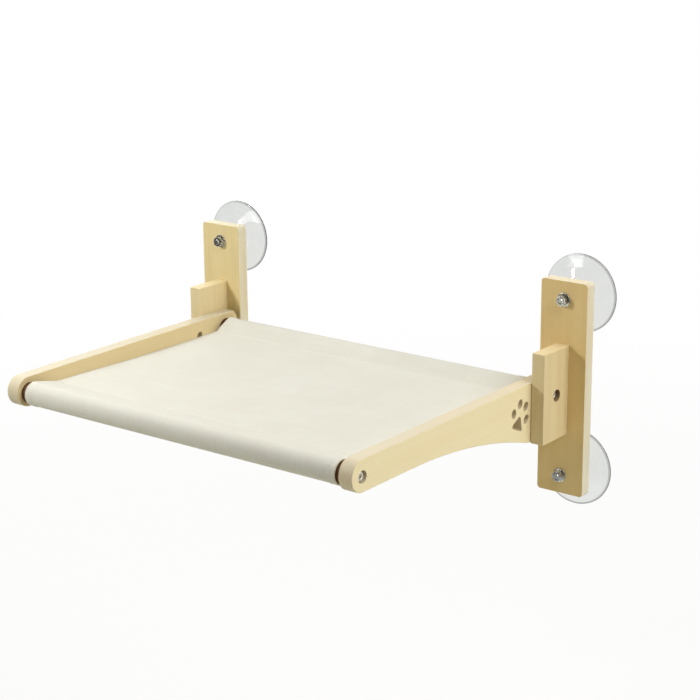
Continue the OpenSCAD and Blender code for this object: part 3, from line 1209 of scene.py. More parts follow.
@dataclass
class Timber:
    """The uprights, brackets, arms and dowels, each kind of board with its own tones on each side.

    Attributes:
        tones: light wood, dark wood and narrow sides of each kind of board on each side, where the
            narrow sides carry painted sheen and shade.
        dowel: the same of the dowels, a dark brown that is painted shade, since they show only in
            the shaded gaps between the sleeves and the arms.
    """

    tones: dict[tuple[str, Side], tuple[Colour, Colour, Colour]] = field(default_factory=lambda: {
        ("upright", Side.LEFT): ((235, 218, 165), (216, 189, 130), (231, 227, 205)),
        ("upright", Side.RIGHT): ((237, 210, 149), (219, 183, 118), (231, 227, 205)),
        ("bracket", Side.LEFT): ((231, 213, 168), (212, 189, 134), (232, 215, 173)),
        ("bracket", Side.RIGHT): ((227, 208, 161), (210, 183, 129), (225, 207, 161)),
        ("arm", Side.LEFT): ((225, 205, 158), (210, 184, 128), (203, 196, 172)),
        ("arm", Side.RIGHT): ((245, 233, 190), (237, 208, 156), (203, 196, 172)),
    })
    # painted shade: the dowels' dark brown stands in for the shade in the narrow gaps beside the
    # sleeve ends
    dowel: tuple[Colour, Colour, Colour] = ((96, 61, 26), (70, 43, 16), (96, 61, 26))

    @staticmethod
    def wood(kind: str, tones: Iterable[Colour]) -> WoodFinish:
        """The finish of one kind of board."""
        return WoodFinish(f"{kind}_wood", *(linear(*tone) for tone in tones))

    def build(self) -> None:
        """Builds every board."""
        x, y, z = Way
        for side in Side:
            s, bolt = side.sign, f"{side.value}_pivot_bolt"
            for kind, body, grain, broad, shift, bores in (
                ("upright", Body.FRAME, z, y, (0.11 * s, 0.02, 0.4 * s), ()),
                # the bracket's pivot recess gets painted shade
                ("bracket", Body.FRAME, z, x, (0.3 + 0.07 * s, 0.11, 0.9), (bolt,)),
                ("arm", Body.PERCH, y, x, (0.5 + 0.17 * s, 0.06 * s, 1.7), ()),
            ):
                wood = self.wood(kind, self.tones[kind, side])
                Board(f"{side.value}_{kind}", body, wood, grain, broad, shift, bores).build()
        # the dowels' dark brown is painted shade
        wood = self.wood("dowel", self.dowel)
        for number, name in enumerate(("front_dowel", "rear_dowel")):
            Board(name, Body.PERCH, wood, x, x, (0.8, 0.3 * number, 2.3)).build()


# Sling


@dataclass(frozen=True)
class Wave:
    """An uneven wave of the cloth.

    Attributes:
        height: of the wave.
        across: waves in a metre across the cloth.
        along: waves in a metre along it.
        seed: of its shape.
    """

    height: float
    across: float
    along: float
    seed: float

    def at(self, x: float, s: float, share: float = 1.0) -> float:
        """The height of a share of the wave at a place on the cloth."""
        spot = Vector((x * self.across, s * self.along, self.seed))
        return self.height * share * noise.noise(spot)


@dataclass
class Sling:
    """The canvas, from the hem under its front sleeve to the hem under its rear one.

    Attributes:
        thickness: of the canvas.
        ease: room between a dowel and its sleeve.
        front_seam: from the front dowel's axis to the seam, rearwards and up.
        rear_seam: from the rear dowel's axis to the seam, forwards and up.
        hem: length of canvas past each seam.
        side_hem: width of the folded edge at each side.
        side_row: from the edge to its row of stitches.
        seam_row: from a seam to its row of stitches.
        fold: how much thicker the folded edge is.
        sag: how far the middle hangs below a straight line.
        cross_sag: how much deeper it hangs in the middle than at its side edges.
        ripple: the long waves between the sleeves.
        pucker: the short waves beside the seams.
        curl: height of the waves along its side edges.
        drawn_in: how far stitching has drawn each side edge in.
        fine: gap between its points round the sleeves.
        coarse: gap between its points on the flat.
        finish: the canvas.
        thread: the finish of its stitches.
        stitching: its stitches.
        flat_map: name of the map that lays it flat.
        seams: marks beside which a row is sewn, and the way from the mark to the row.
        smoothings: how often the line's corners are softened.
        edge_turns: places of the points round a side edge.
    """

    thickness: float = 1.1 * MM
    ease: float = 0.35 * MM
    front_seam: Pair = (31.5 * MM, 4.2 * MM)
    rear_seam: Pair = (24 * MM, 0.9 * MM)
    hem: float = 8 * MM
    side_hem: float = 9.5 * MM
    side_row: float = 7.6 * MM
    seam_row: float = 1.6 * MM
    fold: float = 0.45 * MM
    sag: float = 1.2 * MM
    cross_sag: float = 0.35
    ripple: Wave = Wave(0.35 * MM, 16, 9, 2.4)
    pucker: Wave = Wave(0.16 * MM, 95, 20, 7.1)
    curl: float = 0.3 * MM
    drawn_in: float = 1.9 * MM
    fine: float = 1.1 * MM
    coarse: float = 3.0 * MM
    finish: CanvasFinish = CanvasFinish()
    thread: ThreadFinish = ThreadFinish()
    stitching: Stitching = field(default_factory=Stitching)

    flat_map = "flat"
    seams = (("front_top", 1), ("rear_top", -1), ("front_low", -1), ("rear_low", 1))
    smoothings = 6
    edge_turns = tuple(math.radians(a) for a in (45, 90, 135))

    def __post_init__(self) -> None:
        """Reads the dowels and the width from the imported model, and lays the cloth's line."""
        self.front, self.rear = (measured(node)[2].yz for node in ("front_dowel", "rear_dowel"))
        self.radius = measured("rear_dowel")[3] + self.ease + self.thickness / 2
        self.half_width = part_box("sling")[1].x - self.drawn_in
        self.points, self.lengths, self.marks = self.trace()

    def touch(self, offset: Vector, side: int) -> float:
        """Angle round the dowel at which the cloth from a point meets its sleeve's round.

        Args:
            offset: the point, seen from the dowel's axis.
            side: 1 or -1, for the upper or lower meeting on the front dowel.

        Returns:
            The angle.
        """
        return math.atan2(offset.y, offset.x) + side * math.acos(self.radius / offset.length)

    def wrap(self, axis: Vector, tip: Vector, direction: int) -> list[Vector]:
        """Line of the cloth round a dowel, from the lower meeting to the upper one.

        Args:
            axis: the dowel's axis.
            tip: the seam, seen from the axis.
            direction: 1 at the front, -1 at the rear.

        Returns:
            Points round the dowel.
        """
        half = Vector((0, self.thickness / 2))
        start = self.touch(tip - half, -direction)
        end = self.touch(tip + half, direction)
        sweep = (direction * (start - end)) % (2 * math.pi)
        turn = evenly(start, start - direction * sweep, round(sweep * self.radius / self.fine))
        return [axis + self.radius * Vector((math.cos(a), math.sin(a))) for a in turn]

    def trace(self) -> tuple[list[Vector], list[float], dict[str, float]]:
        """Lays the cloth's middle line in the plane across the dowels.

        Returns:
            The line's points from hem to hem, how far along it each lies, and where the seams lie.
        """
        back, rise = self.rear_seam
        front_tip, rear_tip = Vector(self.front_seam), Vector((-back, rise))
        f, r = self.front + front_tip, self.rear + rear_tip
        hem = (r - f).normalized() * self.hem
        up = Vector((0, self.thickness / 2))
        line = self.respaced([
            f + hem - up, f - up, *self.wrap(self.front, front_tip, 1), f + up,
            r + up, *self.wrap(self.rear, rear_tip, -1)[::-1], r - up, r - hem - up,
        ], self.fine / 2)
        for _ in range(self.smoothings):
            inner = [(a + b * 2 + c) / 4 for a, b, c in zip(line, line[1:], line[2:])]
            line = [line[0], *inner, line[-1]]
        line = self.respaced(line, self.fine / 2)
        lengths, middle = run_lengths(line), len(line) // 2
        marks = {"end": lengths[-1]}
        for end, tip, half in (("front", f, range(middle)), ("rear", r, range(middle, len(line)))):
            for level, spot in (("low", tip - up), ("top", tip + up)):
                gaps = [(point - spot).length for point in line]
                marks[f"{end}_{level}"] = lengths[min(half, key=gaps.__getitem__)]
        return line, lengths, marks

    @staticmethod
    def respaced(line: Sequence[Vector], gap: float) -> list[Vector]:
        """Spaces the points of a line evenly.

        Args:
            line: its points.
            gap: the wanted distance between them.

        Returns:
            The new points.
        """
        lengths = run_lengths(line)
        made, i = [], 0
        for goal in evenly(0, lengths[-1], round(lengths[-1] / gap)):
            while i < len(lengths) - 2 and lengths[i + 1] < goal:
                i += 1
            share = (goal - lengths[i]) / max(lengths[i + 1] - lengths[i], TINY)
            made.append(line[i].lerp(line[i + 1], share))
        return made

    def place(self, s: float) -> tuple[Vector, Vector]:
        """The middle line's point and outward normal.

        Args:
            s: distance along the line.

        Returns:
            The point and the normal, in the plane across the dowels.
        """
        i = min(max(bisect_left(self.lengths, s), 1), len(self.points) - 2)
        tangent = (self.points[i + 1] - self.points[i - 1]).normalized()
        point = self.points[i] + tangent * (s - self.lengths[i])
        return point, Vector((-tangent.y, tangent.x))

    def between_seams(self, room: float) -> Pair:
        """Start and end of the span between the upper seams, less some room at each."""
        return self.marks["front_top"] + room, self.marks["rear_top"] - room

    def stations(self) -> list[float]:
        """Distances along the line at which the cloth gets a row of points.

        Returns:
            The distances, close together at the sleeves.
        """
        bend_room = 12 * MM
        start, end = self.between_seams(bend_room)
        spots, s = [], 0.0
        while s < self.marks["end"] - self.fine / 2:
            spots.append(s)
            s += self.coarse if start < s < end else self.fine
        return [*spots, self.marks["end"]]

    def columns(self) -> list[float]:
        """Places across the cloth at which it gets a line of points.

        Returns:
            The places, close together at the side hems.
        """
        border_room, border_count, column_gap = 3 * MM, 22, 5 * MM
        edge = self.half_width - self.thickness / 2
        inner = edge - (self.side_hem + border_room)
        border = evenly(edge, inner, border_count)
        middle = evenly(inner, -inner, round(2 * inner / column_gap))[1:-1]
        return sorted([*border, *middle, *(-x for x in border)])

    def shift(self, x: float, s: float) -> float:
        """How far the cloth lies off its straight line, along its normal.

        Args:
            x: place across the cloth.
            s: distance along its line.

        Returns:
            The distance.
        """
        start, end = self.between_seams(0.0)
        span = (s - start) / (end - start)
        if not 0 < span < 1:
            return 0.0
        wave_start, pucker_fade, curl_turn, curl_offset = 6, 14, 7, 1.3 if x > 0 else 0.2
        across, near_end = x / self.half_width, min(span, 1 - span)
        hang = -self.sag * 4 * span * (1 - span) * (1 + self.cross_sag * (1 - across * across))
        curl = self.curl * across ** 8 * math.sin(curl_turn * span + curl_offset)
        waves = min(1.0, near_end * wave_start) * (self.ripple.at(x, s) + curl)
        return hang + waves + self.pucker.at(x, s, math.exp(-near_end * pucker_fade))

    def skins(self, x: float, s: float) -> Pair:
        """Distances from the middle line to the cloth's two faces.

        Args:
            x: place across the cloth.
            s: distance along its line.

        Returns:
            The outer and the inner distance.
        """
        hem_step, turn_over, side_dent, seam_dent = 0.8 * MM, 6 * MM, 0.28 * MM, 0.25 * MM
        side_dent_width, seam_dent_width = 0.55 * MM, 0.8 * MM
        half = self.thickness / 2
        from_edge = self.half_width - abs(x)
        start, end = self.between_seams(0.0)
        double = self.fold * smooth_step((self.side_hem - from_edge) / hem_step + 0.5)
        flat = smooth_step((s - start) / turn_over) * smooth_step((end - s) / turn_over)
        groove = side_dent * bell(from_edge - self.side_row, side_dent_width)
        for key, way in self.seams[:2]:
            groove += seam_dent * bell(s - self.marks[key] - way * self.seam_row, seam_dent_width)
        return half + double * (1 - flat) - groove, half + double * flat

    def at(self, x: float, s: float, outer: bool, lift: float = 0.0) -> Vector:
        """A point on one of the cloth's faces.

        Args:
            x: place across the cloth.
            s: distance along its line.
            outer: whether it lies on the outer face.
            lift: how far above the face.

        Returns:
            The point.
        """
        point, normal = self.place(s)
        above, below = self.skins(x, s)
        spot = point + normal * (self.shift(x, s) + (above + lift if outer else -below - lift))
        return Vector((x, *spot))

    def round_edge(self, start: Vector, end: Vector, side: int) -> list[tuple[float, Vector]]:
        """Points of the rounded side edge between the two faces.

        Args:
            start: the last point of one face.
            end: the first point of the other.
            side: 1 at the right edge, -1 at the left one.

        Returns:
            The points with their place across.
        """
        middle, arm = (start + end) / 2, (start - end) / 2
        out = Vector((side * (self.half_width - abs(start.x)), 0, 0))
        spots = [middle + arm * math.cos(a) + out * math.sin(a) for a in self.edge_turns]
        return [(spot.x, spot) for spot in spots]

    def cloth(self) -> Object:
        """Builds the canvas as one closed cloth.

        Returns:
            The canvas.
        """
        bm = bmesh.new()
        uv = bm.loops.layers.uv.new(self.flat_map)
        columns = self.columns()
        half, bend = len(columns), len(self.edge_turns)
        loops, flat = [], {}
        for s in self.stations():
            top = [(x, self.at(x, s, True)) for x in columns]
            low = [(x, self.at(x, s, False)) for x in reversed(columns)]
            right = self.round_edge(top[-1][1], low[0][1], 1)
            left = self.round_edge(low[-1][1], top[0][1], -1)
            loop = [*top, *right, *low, *left]
            loops.append([bm.verts.new(spot) for _, spot in loop])
            flat.update({vert: (x + self.half_width, s) for vert, (x, _) in zip(loops[-1], loop)})
        for low, high in pairwise(loops):
            for i in range(len(low)):
                j = (i + 1) % len(low)
                bm.faces.new((low[i], high[i], high[j], low[j]))
        for loop in (loops[0], loops[-1]):
            top, low = loop[:half], loop[half + bend:2 * half + bend][::-1]
            for i in range(half - 1):
                bm.faces.new((top[i], low[i], low[i + 1], top[i + 1]))
            bm.faces.new((top[-1], low[-1], *reversed(loop[half:half + bend])))
            bm.faces.new((low[0], top[0], *reversed(loop[2 * half + bend:])))
        for face in bm.faces:
            for corner in face.loops:
                corner[uv].uv = flat[corner.vert]
        return new_object("sling_canvas", bm, 60.0)

    def rows(self) -> list[list[Vector]]:
        """Lays the lines of the seams and of the side hems.

        Returns:
            The seams on the outer face, and each side hem on both faces.
        """
        side_room, end_room, lift = 3 * MM, 10 * MM, 0.02 * MM
        inset = self.half_width - side_room
        made = []
        for key, way in self.seams:
            s = self.marks[key] + way * self.seam_row
            made.append([self.at(x, s, True, lift) for x in evenly(-inset, inset, 120)])
        start, end = self.marks["front_low"], self.marks["rear_low"]
        whole = [start + i * self.fine for i in range(round((end - start) / self.fine))]
        under = evenly(*self.between_seams(end_room), 100)
        for side in Side:
            x = side.sign * (self.half_width - self.side_row)
            for line, outer in ((whole, True), (under, False)):
                made.append([self.at(x, s, outer, lift) for s in line])
        return made

    def build(self) -> None:
        """Builds and dresses the canvas and its stitches."""
        cloth = dress(self.cloth(), self.finish.material(), Body.PERCH, self.finish.slot, "sling")
        thread = self.thread.material()
        stitches = self.stitching.build("sling_stitches", self.rows(), thread)
        dress(stitches, thread, Body.PERCH, self.thread.slot)


# Suction cups and hardware


@dataclass
class SuctionCup:
    """One cup with its stud, washer and nut.

    Attributes:
        side: left or right.
        level: top or bottom.
        spin: how far the nut was turned, in degrees.
        rim_t: thickness of the rim.
        seal_w: width of the ring that seals on the glass.
        hollow: depth of the hollow.
        neck_r: radius of the neck.
        neck_len: length of the neck.
        stand: from the glass to the upright.
        dome_share: how round the dome is, where 0 is a cone.
        painted_rim_band: width of the painted dark line at the rim, which stands in for the dark
            refraction there.
        rim_highlight_at: degrees round the cup, from its right, at which a painted highlight makes
            that line palest.
        rim_highlight_spread: degrees over which it stays pale.
        rim_highlight_share: how much of the line is gone there.
        stud_r: radius of the stud.
        thread_from: length of its plain foot.
        plate_r: radius of the plate at its foot.
        plate_t: thickness of the plate.
        crown_share: how much of the nut's face is flat.
        chamfer: slope of the nut's corners, in degrees.
    """

    side: Side
    level: Level
    spin: float
    rim_t: float = 1.6 * MM
    seal_w: float = 5 * MM
    hollow: float = 5 * MM
    neck_r: float = 10 * MM
    neck_len: float = 7 * MM
    stand: float = 20.5 * MM
    dome_share: float = 0.55
    painted_rim_band: float = 1.8 * MM
    rim_highlight_at: float = 140.0
    rim_highlight_spread: float = 55.0
    rim_highlight_share: float = 0.8
    stud_r: float = 3 * MM
    thread_from: float = 14 * MM
    plate_r: float = 7 * MM
    plate_t: float = 2.4 * MM
    crown_share: float = 0.985
    chamfer: float = 32.0

    def __post_init__(self) -> None:
        """Reads the cup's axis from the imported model."""
        self.name = f"{self.side.value}_{self.level.value}"
        _, _, middle, self.cup_r = measured(f"{self.name}_cup")
        self.foot = Vector((middle.x, 0, middle.z))

    def place(self, depth: float, spin: float = 0.0) -> Matrix:
        """A place on the cup's axis, at that depth in the room, turned by some degrees."""
        across = (math.cos(math.radians(spin)), 0, math.sin(math.radians(spin)))
        return frame_at(self.foot - Vector((0, depth, 0)), (0, -1, 0), across)

    def profile(self) -> list[Pair]:
        """Radius and height of the cup's hollow, sealing ring, rim, dome and neck.

        Returns:
            The profile, from the middle of the hollow to the middle of the neck.
        """
        shoulder, inner_r = self.stand - self.neck_len, self.cup_r - self.seal_w
        hollow = [(inner_r * t, self.hollow * (1 - t * t)) for t in evenly(0, 1, 18)]
        rim = rounded([
            (self.cup_r - 1.2 * MM, 0), (self.cup_r, 0), (self.cup_r, self.rim_t),
            (self.cup_r - 1.4 * MM, self.rim_t + 0.2 * MM),
        ], 0.8 * MM)
        dome = []
        for t in evenly(0, 1, 30)[2:]:
            rise = t * (1 - self.dome_share) + self.dome_share * (1 - math.cos(QUARTER * t))
            radius = self.cup_r + (self.neck_r - self.cup_r) * t
            dome.append((radius, self.rim_t + (shoulder - self.rim_t) * rise))
        neck = rounded([dome[-3], dome[-1], (self.neck_r, self.stand), (0, self.stand)], 1.6 * MM)
        return [*hollow, *rim, *dome[:-3], *neck]

    def vinyl(self) -> Object:
        """Turns the clear cup, and marks the painted dark line at its rim, which a painted highlight
        pales round one side.

        Returns:
            The cup.
        """
        cup = turned(f"{self.name}_cup_vinyl", self.profile(), self.place(0), 128, sharp=60.0)
        mark = cup.data.attributes.new("rim", "FLOAT", "FACE")
        for face in cup.data.polygons:
            out = face.center - self.foot
            off = math.degrees(math.atan2(out.z, out.x)) - self.rim_highlight_at
            # painted highlight: the dark rim line fades round one side, where light would catch it
            pale = self.rim_highlight_share * bell((off + 180) % 360 - 180, self.rim_highlight_spread)
            # painted shade: the faces near the rim take the dark refraction colour
            on_painted_rim = math.hypot(out.x, out.z) > self.cup_r - self.painted_rim_band
            mark.data[face.index].value = (1 - pale) * on_painted_rim
        return cup

    def stud(self, material: Material) -> Object:
        """Makes the threaded stud and the plate that is moulded into the cup.

        Args:
            material: its finish.

        Returns:
            The stud.
        """
        low, high, _, _ = measured(f"{self.name}_stud")
        foot, length = -high.y, high.y - low.y
        ease, boss_r, top = 0.4 * MM, self.stud_r + 0.2 * MM, self.plate_t
        plate = [(0, 0), (self.plate_r, 0), (self.plate_r, top - ease), (boss_r, top), (0, top)]
        disc = turned(f"{self.name}_plate", rounded(plate, ease), self.place(foot))
        rod = ThreadedRod(length - MM, self.stud_r, plain=self.thread_from)
        rod = rod.build(f"{self.name}_rod", self.place(foot + MM), material)
        return new_object(f"{self.name}_stud_thread", taken(disc, rod), recalculate=False)

    def washer(self) -> Object:
        """Turns the washer, with the rolled edge that stamping leaves.

        Returns:
            The washer.
        """
        low, high, _, outer = measured(f"{self.name}_washer")
        thick, bore = high.y - low.y, self.stud_r + 0.25 * MM
        seam = (bore, thick / 2)
        corners = [seam, (bore, 0), (outer, 0), (outer, thick), (bore, thick), seam]
        rings = rounded(corners, 0.35 * MM)[:-1]
        return turned(f"{self.name}_washer_disc", rings, self.place(-high.y), closed=True)

    def nut(self) -> Object:
        """Makes the hexagon nut with its chamfered corners.

        Returns:
            The nut.
        """
        low, high, _, half = measured(f"{self.name}_nut")
        tall, bore, lead_in = high.y - low.y, self.stud_r + 0.05 * MM, 0.5 * MM
        crown, slope = half * self.crown_share, math.tan(math.radians(self.chamfer))

        def lower(angle: float) -> Pair:
            """Radius and height at which the lower chamfer meets the six sides."""
            radius = hexagon_radius(half, angle)
            return radius, (radius - crown) * slope

        def upper(angle: float) -> Pair:
            """Radius and height at which the upper chamfer meets the six sides."""
            radius, height = lower(angle)
            return radius, tall - height

        rings = [
            (bore, lead_in), (bore + lead_in, 0), (crown, 0), lower, upper, (crown, tall),
            (bore + lead_in, tall), (bore, tall - lead_in),
        ]
        place = self.place(-high.y, self.spin)
        return turned(f"{self.name}_nut_hex", rings, place, closed=True, sharp=25.0)

    def build(self, vinyl: Material, zinc: Material) -> None:
        """Builds and dresses the cup and its hardware.

        Args:
            vinyl: the cup's finish.
            zinc: the finish of the stud, washer and nut.
        """
        dress(self.vinyl(), vinyl, Body.FRAME, VINYL.slot, f"{self.name}_cup")
        parts = {"stud": self.stud(zinc), "washer": self.washer(), "nut": self.nut()}
        for part, obj in parts.items():
            dress(obj, zinc, Body.FRAME, ZINC.slot, f"{self.name}_{part}")


@dataclass
class SocketBolt:
    """A round-headed bolt with a hexagon socket.

    Attributes:
        node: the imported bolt.
        side: the side that its head faces.
        socket: half the width of the socket.
        depth: of the socket.
        head_h: height of the head.
        shank_r: radius of the shank.
        plain: length of its smooth part.
    """

    node: str
    side: Side
    socket: float = 2 * MM
    depth: float = 2.5 * MM
    head_h: float = 5 * MM
    shank_r: float = 3 * MM
    plain: float = 4 * MM

    def head(self, radius: float) -> list[Ring]:
        """The rings of the head.

        Args:
            radius: of the head.

        Returns:
            The rings, from the middle of the socket to the middle of the underside.
        """
        return [
            (0, self.depth + 1.1 * MM), hex_ring(self.socket, self.depth),
            hex_ring(self.socket, 0.35 * MM), (self.socket * 1.28, 0), (radius - 0.9 * MM, 0),
            (radius - 0.35 * MM, 0.2 * MM), (radius, 0.8 * MM), (radius, self.head_h - 0.3 * MM),
            (radius - 0.3 * MM, self.head_h), (0, self.head_h),
        ]

    def build(self, steel: Material) -> None:
        """Builds and dresses the bolt.

        Args:
            steel: its finish.
        """
        low, high, middle, radius = measured(self.node)
        top = Vector((high.x if self.side is Side.RIGHT else low.x, middle.y, middle.z))
        inward, up = Vector((-self.side.sign, 0, 0)), (0, 0, 1)
        cap = turned(f"{self.node}_cap", self.head(radius), frame_at(top, inward, up), sharp=30.0)
        covered = self.head_h - MM
        rod = ThreadedRod(high.x - low.x - covered, self.shank_r, plain=self.plain)
        shank = rod.build(f"{self.node}_shank", frame_at(top + inward * covered, inward, up), steel)
        bolt = new_object(f"{self.node}_screw", taken(cap, shank), recalculate=False)
        dress(bolt, steel, Body.PERCH, BOLT_STEEL.slot, self.node)


@dataclass
class WoodScrews:
    """The two countersunk screws that hold one bracket.

    Attributes:
        side: left or right.
        head_r: radius of the heads.
        head_h: height of the heads.
        shank_r: radius over the thread.
        pitch: of the thread.
        groove: depth of the thread.
        plain: length of the smooth shank.
        point: length of the point.
    """

    side: Side
    head_r: float = 4.5 * MM
    head_h: float = 2.25 * MM
    shank_r: float = 2.25 * MM
    pitch: float = 2.0 * MM
    groove: float = 0.8 * MM
    plain: float = 10 * MM
    point: float = 5 * MM

    @staticmethod
    def cross_ring(reach: float, slot: float, height: float) -> Ring:
        """A ring in the shape of a cross.

        Args:
            reach: from the axis to the end of an arm of the cross.
            slot: half the width of an arm.
            height: of the ring.

        Returns:
            The ring.
        """
        def ring(angle: float) -> Pair:
            """Radius and height at that angle."""
            off = (angle + QUARTER / 2) % QUARTER - QUARTER / 2
            return min(reach, slot / max(abs(math.sin(off)), TINY)), height
        return ring

    def head(self) -> list[Ring]:
        """The rings of a head, from the middle of its cross recess to the shank.

        Returns:
            The rings.
        """
        return [
            (0, 1.9 * MM), self.cross_ring(1.3 * MM, 0.45 * MM, 1.5 * MM),
            self.cross_ring(2.2 * MM, 0.6 * MM, 0.0), (2.9 * MM, 0), (self.head_r, 0),
            (self.head_r, 0.15 * MM), (self.shank_r, self.head_h), (0, self.head_h),
        ]

    def build(self, steel: Material) -> None:
        """Builds and dresses the pair.

        Args:
            steel: their finish.
        """
        node = f"{self.side.value}_bracket_screws"
        low, high, middle, _ = measured(node)
        rod = ThreadedRod(
            high.y - low.y - MM, self.shank_r, self.pitch, self.groove, self.plain, self.point
        )
        parts = []
        for level, z in enumerate((low.z + self.head_r, high.z - self.head_r)):
            place = frame_at((middle.x, high.y, z), (0, -1, 0), (1, 0, 0))
            parts.append(turned(f"{node}_{level}_head", self.head(), place, 96, sharp=30.0))
            below = place @ Matrix.Translation((0, 0, MM))
            parts.append(rod.build(f"{node}_{level}_rod", below, steel))
        pair = new_object(f"{node}_pair", taken(*parts), recalculate=False)
        dress(pair, steel, Body.FRAME, SCREW_STEEL.slot, node)


@dataclass
class Hardware:
    """Cups, bolts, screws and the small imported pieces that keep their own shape.

    Attributes:
        nut_spins: how far each cup's nut was turned, in degrees.
    """

    nut_spins: dict[tuple[Side, Level], float] = field(default_factory=lambda: {
        (Side.LEFT, Level.TOP): 12.0, (Side.RIGHT, Level.TOP): 38.0,
        (Side.LEFT, Level.BOTTOM): 25.0, (Side.RIGHT, Level.BOTTOM): 5.0,
    })

    def build(self) -> None:
        """Builds every cup and fastener, and dresses the inserts and spacers."""
        vinyl, zinc, brass, nylon = (f.material() for f in (VINYL, ZINC, BRASS, NylonFinish()))
        bolt, screw = BOLT_STEEL.material(), SCREW_STEEL.material()
        kept = (("front_insert", brass), ("rear_insert", brass), ("pivot_washer", nylon))
        for (side, level), spin in self.nut_spins.items():
            SuctionCup(side, level, spin).build(vinyl, zinc)
        for side in Side:
            for end in ("front", "pivot"):
                SocketBolt(f"{side.value}_{end}_bolt", side).build(bolt)
            WoodScrews(side).build(screw)
            for node, finish in kept:
                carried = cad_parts[f"{side.value}_{node}"]
                carried.data.materials.clear()
                carried.data.materials.append(finish)
                LOG.info("%s keeps its packed shape", carried.name)


# Studio


@dataclass
class Lamp:
    """One soft light.

    Attributes:
        name: what it does.
        spot: where it stands.
        power: in watts.
        aim: what it points at.
        size: width and height of its panel.
    """

    name: str
    spot: Triple
    power: float
    aim: Triple = (0.0, -0.15, 0.0)
    size: Pair = (1.6, 1.6)

    def build(self) -> None:
        """Hangs the light."""
        light = bpy.data.lights.new(self.name, "AREA")
        light.shape, light.size, light.size_y = "RECTANGLE", *self.size
        light.energy = self.power
        obj = linked(self.name, light)
        obj.location = self.spot
        back = Vector(self.spot) - Vector(self.aim)
        obj.rotation_euler = back.to_track_quat("Z", "Y").to_euler()


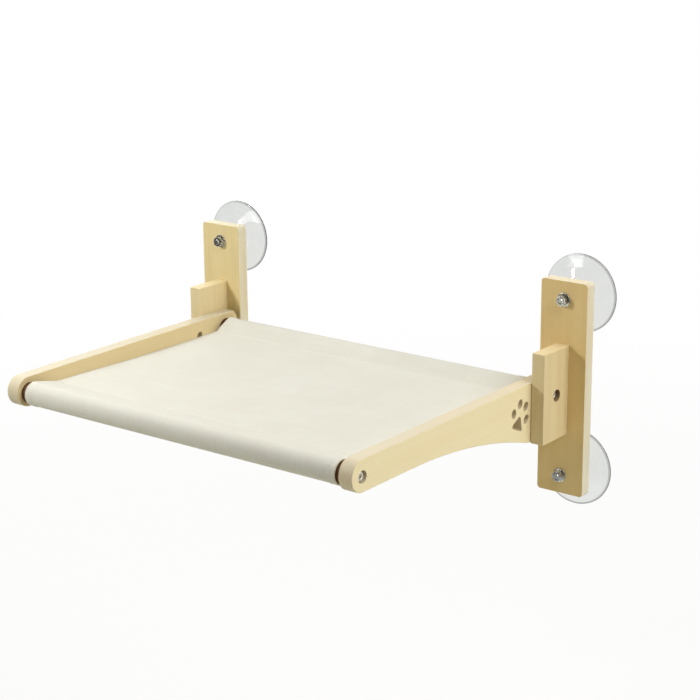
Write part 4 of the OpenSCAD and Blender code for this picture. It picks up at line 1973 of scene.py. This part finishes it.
@dataclass
class Studio:
    """Camera, floor, world and lights.

    Attributes:
        eye: where the photograph was taken from.
        right: the way to the right in it.
        down: the way down in it.
        ahead: the way that the camera looks.
        lens: focal length, in millimetres on a sensor 36 wide.
        clip: the nearest and the farthest distance that the camera shows.
        floor_z: height of the floor.
        floor_size: width and length of the floor.
        floor_colour: of the floor.
        shadow: the distances between which the shadow on it fades.
        floor_room: the places along Y between which it turns from the wall's side to the room's.
        sky_room: the same, for the headings in which the world is seen.
        room_dim: how much darker metal shows the room.
        lamps: the lights.
    """

    eye: Triple = (1.1749, -1.6256, 0.5792)
    right: Triple = (0.795274, 0.606199, -0.00786)
    down: Triple = (0.163788, -0.227321, -0.959947)
    ahead: Triple = (-0.583706, 0.762134, -0.280071)
    lens: float = 95.472
    clip: Pair = (0.05, 100.0)
    floor_z: float = -0.55
    floor_size: float = 40.0
    floor_colour: Colour = (0.87, 0.855, 0.74)
    shadow: Pair = (0.7, 2.4)
    floor_room: Pair = (-0.5, -1.4)
    sky_room: Pair = (-0.1, -0.6)
    room_dim: float = 0.85
    lamps: tuple[Lamp, ...] = (
        Lamp("key", (-0.6, -0.83, 0.58), 5.51, size=(0.14, 0.14)),
        Lamp("window", (-0.7, -1.4, 0.39), 3.0, (0.0, -0.1, 0.1), (0.36, 0.72)),
        Lamp("right_high", (1.6, -0.1, 1.6), 42.4),
        Lamp("left_high", (-1.6, 0.2, 1.6), 16.2),
        Lamp("left_back", (-1.9, 1.4, 1.0), 13.1),
        Lamp("right_back", (1.9, 1.4, 0.8), 5.5),
        Lamp("overback", (0.0, 0.9, 2.0), 8.2),
    )

    def camera(self) -> None:
        """Stands the camera where the photograph was taken from."""
        data = bpy.data.cameras.new("camera")
        data.sensor_width, data.lens = 36.0, self.lens
        data.clip_start, data.clip_end = self.clip
        obj = linked("camera", data)
        up, back = -Vector(self.down), -Vector(self.ahead)
        obj.matrix_world = axes_at(self.eye, Vector(self.right), up, back)
        bpy.context.scene.camera = obj

    def background(self, graph: Graph, room: Socket) -> tuple[Socket, Socket]:
        """How the background shows to the camera, in metal and through the vinyl.

        Args:
            graph: the graph of the floor or the world.
            room: 0 behind the perch, 1 in the room in front of it, which metal shows darker.

        Returns:
            1 for the rays that see it, and how bright they see it, where 1 is white.
        """
        path = graph.add("ShaderNodeLightPath").outputs
        glossy = path["Is Glossy Ray"]
        seen = graph.math("MAXIMUM", path["Is Camera Ray"], path["Is Transmission Ray"])
        dim = graph.math("MULTIPLY", graph.math("MULTIPLY", glossy, room), self.room_dim)
        return graph.math("MAXIMUM", seen, glossy), graph.math("SUBTRACT", 1.0, dim)

    def floor(self) -> None:
        """Lays the pale floor, which keeps a faint shadow of the perch and is clear from below."""
        bm = bmesh.new()
        bmesh.ops.create_grid(bm, x_segments=8, y_segments=8, size=self.floor_size / 2)
        bm.transform(Matrix.Translation((0, 0, self.floor_z)))
        obj = new_object("floor", bm, recalculate=False)
        ground = Surface("floor", Roughness=0.9, Base_Color=self.floor_colour)
        place = ground.place()
        reach = ground.measure("LENGTH", place)
        ahead = ground.add("ShaderNodeSeparateXYZ", {0: place}).outputs["Y"]
        seen, strength = self.background(ground, ground.spread(ahead, *self.floor_room))
        glow = ground.out("ShaderNodeEmission", {"Strength": strength})
        share = ground.math("MULTIPLY", seen, ground.spread(reach, *self.shadow, 0.9, 1.0))
        mixed = ground.out("ShaderNodeMixShader", {0: share, 1: ground.shader.outputs[0], 2: glow})
        below = ground.add("ShaderNodeNewGeometry").outputs["Backfacing"]
        looked_at = ground.add("ShaderNodeLightPath").outputs["Is Camera Ray"]
        hidden = ground.math("MULTIPLY", below, looked_at)
        clear = ground.out("ShaderNodeBsdfTransparent")
        laid = ground.out("ShaderNodeMixShader", {0: hidden, 1: mixed, 2: clear})
        out = next(n for n in ground.tree.nodes if n.type == "OUTPUT_MATERIAL")
        ground.feed(out.inputs["Surface"], laid)
        obj.data.materials.append(ground.material)

    def world(self) -> None:
        """Shows the room white, and leaves the light to the lamps."""
        world = bpy.data.worlds.new("studio")
        bpy.context.scene.world = world
        world.use_nodes = True
        world.node_tree.nodes.clear()
        graph = Graph(world.node_tree)
        heading = graph.add("ShaderNodeTexCoord").outputs["Generated"]
        ahead = graph.add("ShaderNodeSeparateXYZ", {0: heading}).outputs["Y"]
        seen, bright = self.background(graph, graph.spread(ahead, *self.sky_room))
        strength = graph.math("MULTIPLY", seen, bright)
        glow = graph.out("ShaderNodeBackground", {"Color": (1, 1, 1), "Strength": strength})
        graph.add("ShaderNodeOutputWorld", {"Surface": glow})

    def build(self) -> None:
        """Sets up everything round the perch."""
        bpy.context.scene.view_settings.view_transform = "Standard"
        self.camera()
        self.floor()
        self.world()
        for lamp in self.lamps:
            lamp.build()


def main() -> None:
    """Builds the studio and every piece of the perch."""
    logging.basicConfig(level=logging.INFO, format="%(name)s: %(message)s")
    Studio().build()
    for assembly in (Timber(), Sling(), Hardware()):
        LOG.info("building the %s", type(assembly).__name__.lower())
        assembly.build()


if __name__ == "__main__":
    main()
